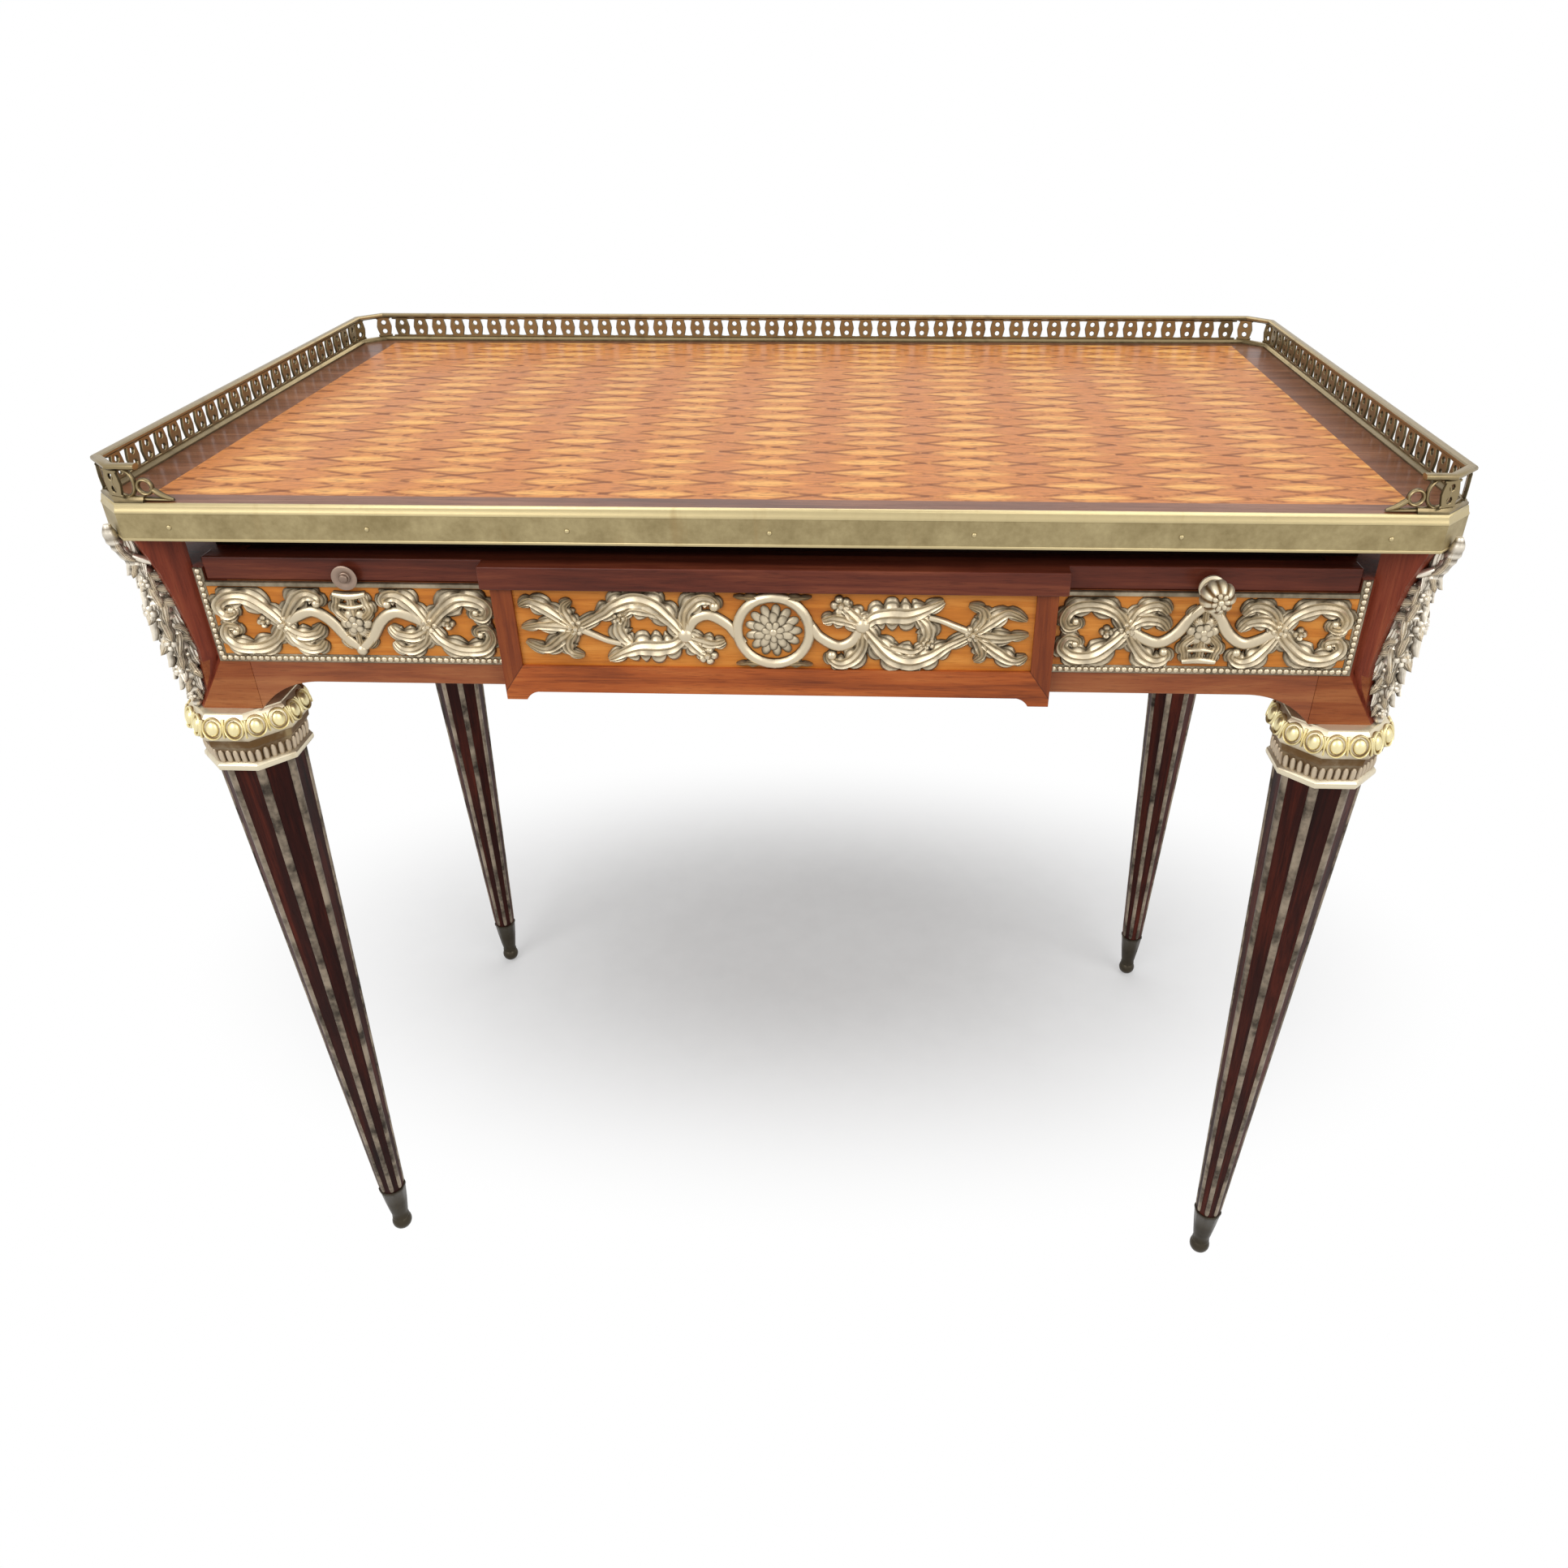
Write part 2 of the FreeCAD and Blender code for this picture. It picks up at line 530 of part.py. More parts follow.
def make_sabot():
    """Brass cup on the leg's foot that ends in a ball toe."""
    rim_width = LEG_FOOT_WIDTH + 2 * SABOT_WALL
    cup = ruled([octagon(-LEG_X, -LEG_Y, TOE_TOP, SABOT_TOE_WIDTH),
                 octagon(-LEG_X, -LEG_Y, SABOT_TOP, rim_width)])
    root = LEG_FOOT_WIDTH - 2 * SABOT_WALL + 2 * FIT
    cavity = ruled([octagon(-LEG_X, -LEG_Y, SABOT_TOP - SPIGOT_LENGTH - FIT, root * SPIGOT_TIP_SHARE),
                    octagon(-LEG_X, -LEG_Y, SABOT_TOP, root)])
    ball_radius = TOE_BALL_DIAMETER / 2
    sink = ball_radius - math.sqrt(ball_radius ** 2 - (TOE_SEAT_DIAMETER / 2) ** 2)
    ball = Part.makeSphere(ball_radius, Vector(-LEG_X, -LEG_Y, ball_radius - sink))
    reach = TOP_WIDTH
    floor = box((-reach, -reach, -reach), (reach, reach, 0))
    return fused([cup.cut(cavity), ball.cut(floor)])


def make_legs():
    keep_corners("capital", make_capital())
    keep_corners("leg", make_leg())
    keep_corners("sabot", make_sabot())
    strips = make_strips()
    strips = strips + [mirrored_x(strip) for strip in strips]
    strips = strips + [mirrored_y(strip) for strip in strips]
    keep("leg_brass_strips", Part.makeCompound(strips))


# Frieze rails, panels and borders
def bracket_edges(start, end, low_end):
    """Curve that leaves a rail's lower edge level and drops to the foot of the post."""
    run = abs(end - start)
    drop = FRIEZE_BOTTOM - low_end
    radius = (run ** 2 + drop ** 2) / 2 / drop
    half = math.asin(run / radius) / 2
    way = (end - start) / run
    middle = (start + way * radius * math.sin(half), FRIEZE_BOTTOM - radius * (1 - math.cos(half)))
    return middle, (end, low_end)


def shouldered_rail(low, high, low_shoulder, high_shoulder, top):
    """Upright rail face along one direction, with curved shoulders where it meets posts."""
    def point(place, z):
        return Vector(place, 0, z)
    edges = []
    start = low
    if low_shoulder:
        start = low + BRACKET_LENGTH
        middle, tip = bracket_edges(start, low, CAPITAL_TOP)
        edges.append(Part.Arc(point(*tip), point(*middle), point(start, FRIEZE_BOTTOM)).toShape())
    end = high
    if high_shoulder:
        end = high - BRACKET_LENGTH
    edges.append(Part.makeLine(point(start, FRIEZE_BOTTOM), point(end, FRIEZE_BOTTOM)))
    if high_shoulder:
        middle, tip = bracket_edges(end, high, CAPITAL_TOP)
        edges.append(Part.Arc(point(end, FRIEZE_BOTTOM), point(*middle), point(*tip)).toShape())
    high_foot = CAPITAL_TOP if high_shoulder else FRIEZE_BOTTOM
    low_foot = CAPITAL_TOP if low_shoulder else FRIEZE_BOTTOM
    edges.append(Part.makeLine(point(high, high_foot), point(high, top)))
    edges.append(Part.makeLine(point(high, top), point(low, top)))
    edges.append(Part.makeLine(point(low, top), point(low, low_foot)))
    return Part.Face(Part.Wire(edges)).extrude(Vector(0, RAIL_THICKNESS, 0))


def make_rails():
    front = shouldered_rail(-POST_INNER_X, -OPENING_HALF, True, False, RAIL_TOP)
    front.translate(Vector(0, -POST_FRONT, 0))
    keep("front_rail_left", front)
    keep("front_rail_right", mirrored_x(front))
    back = shouldered_rail(-POST_INNER_X, POST_INNER_X, True, True, CARCASS_TOP)
    back.translate(Vector(0, RAIL_INNER_Y, 0))
    keep("back_rail", back)
    side = shouldered_rail(-POST_INNER_Y, POST_INNER_Y, True, True, CARCASS_TOP)
    side.rotate(CENTRE, Vector(0, 0, 1), 90)
    side.translate(Vector(RAIL_THICKNESS - POST_SIDE, 0, 0))
    keep("side_rail_left", side)
    keep("side_rail_right", mirrored_x(side))


def make_side_bays():
    """Satinwood panel, beaded border and gilt mount of each fixed bay beside the drawer."""
    face = -POST_FRONT
    panel = box((-BEAD_INNER_X, face - VENEER, PANEL_BOTTOM), (-OPENING_HALF, face, PANEL_TOP))
    keep("frieze_panel_left", panel)
    keep("frieze_panel_right", mirrored_x(panel))
    outer_run = box((-BEAD_OUTER_X, face - BEAD_PROUD, BEAD_BOTTOM), (-BEAD_INNER_X, face, CARCASS_TOP))
    low_run = box((-BEAD_INNER_X, face - BEAD_PROUD, BEAD_BOTTOM), (-OPENING_HALF, face, PANEL_BOTTOM))
    high_run = box((-BEAD_INNER_X, face - BEAD_PROUD, PANEL_TOP), (-OPENING_HALF, face, RAIL_TOP))
    border = fused([outer_run, low_run, high_run])
    keep("bead_border_left", border)
    keep("bead_border_right", mirrored_x(border))
    bay_middle = Vector((-BEAD_INNER_X - OPENING_HALF) / 2, face, (PANEL_BOTTOM + PANEL_TOP) / 2)
    mount = make_side_mount(bay_middle.x, face - VENEER)
    keep("frieze_mount_left", mount)
    keep("frieze_mount_right", mirrored_x(mount.rotated(bay_middle, Y_PLANE, 180)))


# Gilt mounts as flat relief
def ribbon(path, first_width, last_width, face):
    """Tapering strap along a smooth path in front of an upright face."""
    steps = 12
    curve = Part.BSplineCurve()
    curve.interpolate([Vector(x, face, z) for x, z in path])
    left = []
    right = []
    for k in range(steps + 1):
        place = curve.FirstParameter + (curve.LastParameter - curve.FirstParameter) * k / steps
        across = curve.tangent(place)[0].cross(Y_PLANE).normalize()
        half = (first_width + (last_width - first_width) * k / steps) / 2
        left.append(curve.value(place) + across * half)
        right.append(curve.value(place) - across * half)
    return polygon_face(left + right[::-1]).extrude(Vector(0, -MOUNT_RELIEF, 0))


def boss(x, z, radius, face):
    """Round boss in front of an upright face."""
    return Part.makeCylinder(radius, MOUNT_RELIEF, Vector(x, face, z), Vector(0, -1, 0))


def scroll_mount(middle_x, face, low, rise, half_length, stroke_shares, boss_shares):
    """Straps and bosses of one half of a mount, in shares of its half length and its rise from a level."""
    height = abs(rise)
    pieces = []
    for first_share, last_share, path_shares in stroke_shares:
        path = [(middle_x + half_length * x_share, low + rise * z_share)
                for x_share, z_share in path_shares]
        pieces.append(ribbon(path, height * first_share, height * last_share, face))
    for x_share, z_share, radius_share in boss_shares:
        x = middle_x + half_length * x_share
        pieces.append(boss(x, low + rise * z_share, height * radius_share, face))
    return pieces


def make_side_mount(middle_x, face):
    """Acanthus scrolls that spring from a boss and a rosette in the middle of a side bay."""
    stroke_shares = (
        (0.11, 0.12, ((0.0, 0.09), (0.09, 0.25), (0.18, 0.52), (0.29, 0.66), (0.41, 0.59), (0.52, 0.47))),
        (0.12, 0.17, ((0.25, 0.79), (0.28, 0.90), (0.36, 0.88), (0.44, 0.70), (0.52, 0.47))),
        (0.13, 0.18, ((0.24, 0.46), (0.29, 0.34), (0.39, 0.30), (0.47, 0.36), (0.52, 0.47))),
        (0.13, 0.14, ((0.25, 0.20), (0.30, 0.11), (0.38, 0.10), (0.47, 0.22), (0.52, 0.47))),
        (0.15, 0.11, ((0.52, 0.47), (0.60, 0.66), (0.73, 0.84), (0.87, 0.84), (0.93, 0.68))),
        (0.13, 0.12, ((0.52, 0.47), (0.59, 0.25), (0.72, 0.12), (0.88, 0.16), (0.93, 0.40))))
    boss_shares = ((0.25, 0.77, 0.11), (0.93, 0.68, 0.08), (0.93, 0.40, 0.08), (0.52, 0.47, 0.11),
                   (0.0, 0.48, 0.21), (0.0, 0.09, 0.08), (0.0, 0.89, 0.10))
    spine_share = 0.16
    margin_share = 0.02
    height = PANEL_TOP - PANEL_BOTTOM
    margin = height * margin_share
    half_length = (BEAD_INNER_X - OPENING_HALF) / 2 - margin
    pieces = []
    for reach in (-half_length, half_length):
        pieces.extend(scroll_mount(middle_x, face, PANEL_BOTTOM + margin, height - 2 * margin, reach,
                                   stroke_shares, boss_shares))
    half = height * spine_share / 2
    low = PANEL_BOTTOM + 3 * margin
    high = PANEL_TOP - 3 * margin
    pieces.append(box((middle_x - half, face - MOUNT_RELIEF, low), (middle_x + half, face, high)))
    return fused(pieces)


def make_centre_mount(face, low, high):
    """Ring with a rosette, and acanthus scrolls that end in a lily, turned over on the right side."""
    stroke_shares = (
        (0.09, 0.10, ((0.12, 0.32), (0.15, 0.45), (0.18, 0.58), (0.25, 0.70), (0.31, 0.62), (0.345, 0.42))),
        (0.10, 0.14, ((0.225, 0.82), (0.255, 0.91), (0.306, 0.87), (0.343, 0.70), (0.345, 0.42))),
        (0.10, 0.14, ((0.19, 0.36), (0.23, 0.32), (0.28, 0.35), (0.345, 0.42))),
        (0.09, 0.12, ((0.262, 0.15), (0.30, 0.22), (0.345, 0.42))),
        (0.16, 0.10, ((0.345, 0.42), (0.40, 0.64), (0.46, 0.83), (0.535, 0.90), (0.61, 0.82), (0.668, 0.69),
                      (0.771, 0.51))),
        (0.12, 0.09, ((0.40, 0.64), (0.48, 0.74), (0.55, 0.77), (0.60, 0.64))),
        (0.14, 0.12, ((0.345, 0.42), (0.417, 0.31), (0.498, 0.22), (0.565, 0.14), (0.653, 0.13))),
        (0.14, 0.08, ((0.565, 0.14), (0.62, 0.26), (0.683, 0.37), (0.771, 0.51))),
        (0.13, 0.11, ((0.60, 0.64), (0.60, 0.50), (0.61, 0.38), (0.62, 0.26))),
        (0.12, 0.10, ((0.771, 0.51), (0.80, 0.66), (0.81, 0.80), (0.78, 0.86))),
        (0.12, 0.10, ((0.771, 0.51), (0.875, 0.76), (0.94, 0.86), (0.98, 0.80))),
        (0.12, 0.08, ((0.771, 0.51), (0.88, 0.55), (0.985, 0.51))),
        (0.12, 0.12, ((0.771, 0.51), (0.83, 0.36), (0.90, 0.24), (0.97, 0.34))),
        (0.12, 0.11, ((0.771, 0.51), (0.81, 0.32), (0.80, 0.18), (0.75, 0.15))))
    boss_shares = ((0.262, 0.15, 0.13), (0.225, 0.82, 0.08), (0.345, 0.42, 0.10), (0.60, 0.64, 0.09),
                   (0.771, 0.51, 0.11))
    margin_share, rosette_share, ring_share, hole_share, tie_share = 0.015, 0.30, 0.485, 0.40, 0.12
    height = high - low
    margin = height * margin_share
    half_length = BREAK_WIDTH / 2 - STILE_WIDTH - margin
    rise = height - 2 * margin
    pieces = scroll_mount(0, face, low + margin, rise, -half_length, stroke_shares, boss_shares)
    pieces.extend(scroll_mount(0, face, high - margin, -rise, half_length, stroke_shares, boss_shares))
    middle_z = (low + high) / 2
    hole = boss(0, middle_z, height * hole_share, face)
    pieces.append(boss(0, middle_z, height * ring_share, face).cut(hole))
    pieces.append(boss(0, middle_z, height * rosette_share, face))
    tie_low = (-height * ring_share + margin, face - MOUNT_RELIEF, middle_z - height * tie_share / 2)
    pieces.append(box(tie_low, (height * ring_share - margin, face, middle_z + height * tie_share / 2)))
    return fused(pieces)


# Breakfront drawer
def make_drawer():
    half = BREAK_WIDTH / 2
    inner = half - STILE_WIDTH
    front_y = -DRAWER_FRONT
    back_of_front = -RAIL_INNER_Y
    rail_level = FRIEZE_BOTTOM + DRAWER_RAIL_HEIGHT
    board = box((-half, front_y, FRIEZE_BOTTOM), (half, back_of_front, RAIL_TOP))
    recess_back = front_y + PANEL_RECESS + VENEER
    recess = box((-inner, front_y - OVERRUN, rail_level), (inner, recess_back, RAIL_TOP + OVERRUN))
    pieces = [board.cut(recess)]
    for side in (-1, 1):
        pieces.append(make_stile_foot(side, half, inner, front_y))
    keep("drawer_front", fused(pieces))
    panel_face = front_y + PANEL_RECESS
    keep("drawer_panel", box((-inner, panel_face, rail_level), (inner, panel_face + VENEER, RAIL_TOP)))
    keep("drawer_mount", make_centre_mount(panel_face, rail_level, RAIL_TOP))
    side_low = FRIEZE_BOTTOM + RUNNER_HEIGHT + SLIDE_PLAY
    side_high = RAIL_TOP - DRAWER_SIDE_DROP
    box_back = RAIL_INNER_Y - DRAWER_BACK_GAP
    inside = half - DRAWER_SIDE_THICKNESS
    side = box((-half, back_of_front, side_low), (-inside, box_back, side_high))
    keep("drawer_side_left", side)
    keep("drawer_side_right", mirrored_x(side))
    bottom_low = side_low + DRAWER_BOTTOM_RAISE
    bottom_high = bottom_low + DRAWER_BOTTOM_THICKNESS
    keep("drawer_bottom", box((-inside, back_of_front, bottom_low), (inside, box_back, bottom_high)))
    back_low = (-inside, box_back - DRAWER_SIDE_THICKNESS, bottom_high)
    keep("drawer_back", box(back_low, (inside, box_back, side_high)))


def make_stile_foot(side, half, inner, front_y):
    """Foot of a stile below the drawer's lower edge, with a hollow curve on its inner side."""
    low = FRIEZE_BOTTOM - STILE_FOOT_DROP
    outer_low = Vector(side * half, front_y, low)
    outer_high = Vector(side * half, front_y, FRIEZE_BOTTOM)
    curve_end = Vector(side * (inner - STILE_FOOT_CURVE), front_y, FRIEZE_BOTTOM)
    foot_end = Vector(side * inner, front_y, low)
    run_share, drop_share = 0.40, 0.35
    hollow_x = side * (inner - STILE_FOOT_CURVE * run_share)
    hollow = Vector(hollow_x, front_y, FRIEZE_BOTTOM - STILE_FOOT_DROP * drop_share)
    edges = [Part.makeLine(outer_low, outer_high), Part.makeLine(outer_high, curve_end),
             Part.Arc(curve_end, hollow, foot_end).toShape(), Part.makeLine(foot_end, outer_low)]
    return Part.Face(Part.Wire(edges)).extrude(Vector(0, BREAK_PROUD, 0))


def make_drawer_bay():
    """Partitions on each side of the drawer and the runners that carry it."""
    outer = OPENING_HALF + PARTITION_THICKNESS
    partition = box((-outer, -RAIL_INNER_Y, FRIEZE_BOTTOM), (-OPENING_HALF, RAIL_INNER_Y, RAIL_TOP))
    keep("partition_left", partition)
    keep("partition_right", mirrored_x(partition))
    runner_low = (-OPENING_HALF, SIDE_PLAY - RAIL_INNER_Y, FRIEZE_BOTTOM)
    runner_high = (RUNNER_WIDTH - OPENING_HALF, RAIL_INNER_Y, FRIEZE_BOTTOM + RUNNER_HEIGHT)
    runner = box(runner_low, runner_high)
    keep("drawer_runners", Part.makeCompound([runner, mirrored_x(runner)]))


# Writing slide
def make_slide():
    half = POST_INNER_X - SIDE_PLAY
    strip_back = STRIP_DEPTH - POST_FRONT
    back = RAIL_INNER_Y - SLIDE_BACK_GAP
    board = box((-half, strip_back, SLIDE_BOTTOM), (half, back, SLIDE_TOP))
    leather_low = (LEATHER_MARGIN - half, strip_back + LEATHER_MARGIN, SLIDE_TOP - LEATHER_THICKNESS)
    leather = box(leather_low, (half - LEATHER_MARGIN, back - LEATHER_MARGIN, SLIDE_TOP))
    keep("slide_board", board.cut(leather))
    keep("slide_leather", leather)
    break_half = BREAK_WIDTH / 2 + STRIP_OVERLAP
    outline = [(-STRIP_HALF, strip_back), (-STRIP_HALF, -POST_FRONT), (-break_half, -POST_FRONT),
               (-break_half, -STRIP_FRONT), (break_half, -STRIP_FRONT), (break_half, -POST_FRONT),
               (STRIP_HALF, -POST_FRONT), (STRIP_HALF, strip_back)]
    keep("slide_moulding", prism(outline, SLIDE_BOTTOM, SLIDE_TOP + STRIP_RISE))
    outward = Vector(0, -1, 0)
    right = Vector(KNOB_X, -POST_FRONT, KNOB_Z)
    left = Vector(-KNOB_X, -POST_FRONT, KNOB_Z)
    neck = Part.makeCylinder(KNOB_NECK_DIAMETER / 2, KNOB_REACH, right, outward)
    ball = Part.makeSphere(KNOB_DIAMETER / 2, right + outward * KNOB_REACH)
    keep("slide_knob", fused([make_knob_plate(right, outward), neck, ball]))
    stud = Part.makeCylinder(STUD_DIAMETER / 2, STUD_LENGTH, left, outward)
    keep("slide_stud", fused([make_knob_plate(left, outward), stud]))


def make_knob_plate(seat, outward):
    """Round plate of a knob on a hub that clears the beaded border under the slide."""
    hub_length = BEAD_PROUD + SIDE_PLAY
    hub = Part.makeCylinder(KNOB_HUB_DIAMETER / 2, hub_length, seat, outward)
    plate = Part.makeCylinder(KNOB_PLATE_DIAMETER / 2, KNOB_PLATE_THICKNESS, seat + outward * hub_length,
                              outward)
    return fused([hub, plate])


def make_slide_runners():
    """Ledges inside the side rails that carry the ends of the slide."""
    rail_face = POST_SIDE - RAIL_THICKNESS
    inner = POST_INNER_X - RUNNER_WIDTH
    low = (-rail_face, -POST_INNER_Y, RAIL_TOP - RUNNER_HEIGHT)
    ledge = box(low, (-inner, POST_INNER_Y, RAIL_TOP))
    keep("slide_runners", Part.makeCompound([ledge, mirrored_x(ledge)]))


make_top()
make_gallery()
make_neck()
make_corners()
make_legs()
make_rails()
make_side_bays()
make_drawer_bay()
make_drawer()
make_slide()
make_slide_runners()

for name, shape in nodes.items():
    shape.translate(ORIGIN_SHIFT)
    if not shape.isValid():
        print("not valid:", name)
    shape.exportStep("parts/" + name + ".step")
    print(name, len(shape.Solids), round(shape.Volume))
print(len(nodes), "nodes")
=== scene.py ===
"""Looks of a small writing table with a brass gallery, built round its CAD frame."""
import logging
import math
from dataclasses import dataclass
from enum import Enum
from typing import Callable, Dict, List, Optional, Sequence, Tuple, Union

import bmesh
import bpy
from mathutils import Matrix, Vector


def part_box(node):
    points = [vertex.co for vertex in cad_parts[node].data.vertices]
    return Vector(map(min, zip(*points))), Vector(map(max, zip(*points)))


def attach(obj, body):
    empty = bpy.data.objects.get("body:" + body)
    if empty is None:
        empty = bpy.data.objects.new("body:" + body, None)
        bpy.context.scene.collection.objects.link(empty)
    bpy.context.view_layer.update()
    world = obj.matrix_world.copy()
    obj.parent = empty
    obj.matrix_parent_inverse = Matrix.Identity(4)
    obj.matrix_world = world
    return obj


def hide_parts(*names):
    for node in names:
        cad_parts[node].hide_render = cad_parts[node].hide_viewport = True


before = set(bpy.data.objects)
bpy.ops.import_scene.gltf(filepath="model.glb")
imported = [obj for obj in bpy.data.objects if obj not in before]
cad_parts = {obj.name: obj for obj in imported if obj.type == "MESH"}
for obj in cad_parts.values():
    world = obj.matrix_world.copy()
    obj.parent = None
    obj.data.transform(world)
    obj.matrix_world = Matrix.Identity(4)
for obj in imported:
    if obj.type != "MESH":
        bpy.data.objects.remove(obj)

LOG = logging.getLogger("writing_table")
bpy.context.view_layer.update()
BAND_LOW, BAND_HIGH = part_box("brass_band")
CENTRE_Y = (BAND_LOW.y + BAND_HIGH.y) / 2
MM = 0.001
CORNERS = ("front_left", "front_right", "back_left", "back_right")
WHITE = (1.0, 1.0, 1.0, 1.0)
X_AXIS, Y_AXIS, Z_AXIS = Vector((1, 0, 0)), Vector((0, 1, 0)), Vector((0, 0, 1))
FRONT = Vector((0, -1, 0))
MIDDLE = Vector((0.0, CENTRE_Y, 0.0))
EIGHTH = math.pi / 4
CRISP, FLAT, ARRIS = 38.0, 0.5, 30.0
WELD = 1e-6

Colour = Tuple[float, float, float, float]
Plane = Tuple[float, float]
Ring = List[Vector]


def tone(red: int, green: int, blue: int) -> Colour:
    """Turns an sRGB colour in bytes into a linear one.

    Args:
        red: Red, nought to 255.
        green: Green, nought to 255.
        blue: Blue, nought to 255.

    Returns:
        The colour, with an alpha of one.
    """
    shares = [channel / 255 for channel in (red, green, blue)]
    linear = [s / 12.92 if s <= 0.04045 else ((s + 0.055) / 1.055) ** 2.4 for s in shares]
    return linear[0], linear[1], linear[2], 1.0


# Shader toolkit

class Value:
    """A shader socket that takes part in Python arithmetic."""

    def __init__(self, graph: "Graph", socket: bpy.types.NodeSocket) -> None:
        """Holds a socket of a graph."""
        self.graph = graph
        self.socket = socket

    def _math(self, operation: str, first: "Link", second: "Link") -> "Value":
        """Adds one Math node and hands back its result."""
        return self.graph.node("ShaderNodeMath", {"operation": operation}, {0: first, 1: second})

    def __add__(self, other: "Link") -> "Value":
        """Adds."""
        return self._math("ADD", self, other)

    __radd__ = __add__

    def __sub__(self, other: "Link") -> "Value":
        """Subtracts."""
        return self._math("SUBTRACT", self, other)

    def __rsub__(self, other: "Link") -> "Value":
        """Subtracts from a number."""
        return self._math("SUBTRACT", other, self)

    def __mul__(self, other: "Link") -> "Value":
        """Multiplies."""
        return self._math("MULTIPLY", self, other)

    __rmul__ = __mul__

    def __truediv__(self, other: "Link") -> "Value":
        """Divides."""
        return self._math("DIVIDE", self, other)

    def floor(self) -> "Value":
        """The whole number below."""
        return self._math("FLOOR", self, 0.0)

    def size(self) -> "Value":
        """The value without its sign."""
        return self._math("ABSOLUTE", self, 0.0)

    def beyond(self, step: float) -> "Value":
        """The rest after whole steps, never below nought."""
        return self._math("FLOORED_MODULO", self, step)

    def ramp(self, low: float, high: float) -> "Value":
        """A smooth step from nought at low to one at high."""
        settings = {"interpolation_type": "SMOOTHSTEP"}
        return self.graph.node("ShaderNodeMapRange", settings, {0: self, 1: low, 2: high})


Link = Union[Value, float, Tuple[float, ...]]


class Graph:
    """The nodes of one material or world."""

    def __init__(self, owner: Union[bpy.types.Material, bpy.types.World]) -> None:
        """Starts with no nodes.

        Args:
            owner: The material or world that gets the nodes.
        """
        owner.use_nodes = True
        self.tree = owner.node_tree
        self.tree.nodes.clear()

    def node(self, kind: str, settings: Optional[Dict] = None, inputs: Optional[Dict] = None,
             output: Union[int, str, None] = 0) -> Optional[Value]:
        """Adds a node.

        Args:
            kind: The node's type.
            settings: Its properties, and under "stops" a ramp's places and colours.
            inputs: Values or links of its sockets, by name or number.
            output: The socket to hand back, if there is one.

        Returns:
            That socket as a value.
        """
        made = self.tree.nodes.new(kind)
        for key, setting in (settings or {}).items():
            if key == "stops":
                self._set_stops(made.color_ramp, setting)
            else:
                setattr(made, key, setting)
        for key, value in (inputs or {}).items():
            if isinstance(value, Value):
                self.tree.links.new(value.socket, made.inputs[key])
            else:
                made.inputs[key].default_value = value
        return None if output is None else Value(self, made.outputs[output])

    @staticmethod
    def _set_stops(ramp: bpy.types.ColorRamp, stops: Sequence[Tuple[float, Colour]]) -> None:
        """Sets the places and colours of a ramp.

        Args:
            ramp: The ramp.
            stops: Its places and colours.
        """
        while len(ramp.elements) < len(stops):
            ramp.elements.new(1.0)
        for element, (place, colour) in zip(ramp.elements, stops):
            element.position = place
            element.color = colour

    def place(self) -> Value:
        """Object coordinates."""
        return self.node("ShaderNodeTexCoord", output="Object")

    def axes(self) -> Tuple[Value, Value, Value]:
        """The three object coordinates.

        Returns:
            One value for each axis.
        """
        place = self.place()
        split = [self.node("ShaderNodeSeparateXYZ", None, {0: place}, axis) for axis in range(3)]
        return split[0], split[1], split[2]

    def seen(self) -> Value:
        """Tells the rays that show the surroundings as they are from those that only light.

        Returns:
            One for a ray from the camera, a polished face or glass, otherwise nought.
        """
        kinds = ("Is Camera Ray", "Is Glossy Ray", "Is Transmission Ray")
        paths = [self.node("ShaderNodeLightPath", None, None, kind) for kind in kinds]
        return paths[0] + paths[1] + paths[2]

    def vector(self, x: Link, y: Link, z: Link) -> Value:
        """A vector from three values."""
        return self.node("ShaderNodeCombineXYZ", None, {0: x, 1: y, 2: z})

    def stretched(self, scale: Tuple[float, float, float]) -> Value:
        """Object coordinates scaled along each axis."""
        return self.node("ShaderNodeMapping", None, {"Vector": self.place(), "Scale": scale})

    def noise(self, place: Value, scale: float, detail: float = 4.0, roughness: float = 0.55,
              distortion: float = 0.0) -> Value:
        """Smooth noise from nought to one.

        Args:
            place: Where the noise is read.
            scale: How often it changes.
            detail: Its finer octaves.
            roughness: Their strength.
            distortion: How far it is bent.

        Returns:
            The noise.
        """
        inputs = {"Vector": place, "Scale": scale, "Detail": detail, "Roughness": roughness,
                  "Distortion": distortion}
        return self.node("ShaderNodeTexNoise", None, inputs)

    def blend(self, share: Link, first: Link, second: Link) -> Value:
        """Mixes two colours by the share of the second."""
        inputs = {0: share, 6: first, 7: second}
        return self.node("ShaderNodeMix", {"data_type": "RGBA"}, inputs, 2)

    def colours(self, value: Value, stops: Sequence[Tuple[float, Colour]]) -> Value:
        """Colours along a ramp."""
        return self.node("ShaderNodeValToRGB", {"stops": stops}, {0: value})

    def bump(self, height: Value, strength: float, distance: float) -> Value:
        """A bumped normal from a height."""
        inputs = {"Height": height, "Strength": strength, "Distance": distance}
        return self.node("ShaderNodeBump", None, inputs)

    def surface(self, **inputs: Link) -> None:
        """Ends the material in a Principled shader.

        Args:
            inputs: Values or links of its sockets, named in lower case.
        """
        named = {key.replace("_", " ").title().replace("Ior", "IOR"): value
                 for key, value in inputs.items()}
        self.output(self.node("ShaderNodeBsdfPrincipled", None, named))

    def output(self, shader: Value) -> None:
        """Ends the material in a shader."""
        self.node("ShaderNodeOutputMaterial", None, {"Surface": shader}, None)


# Finishes

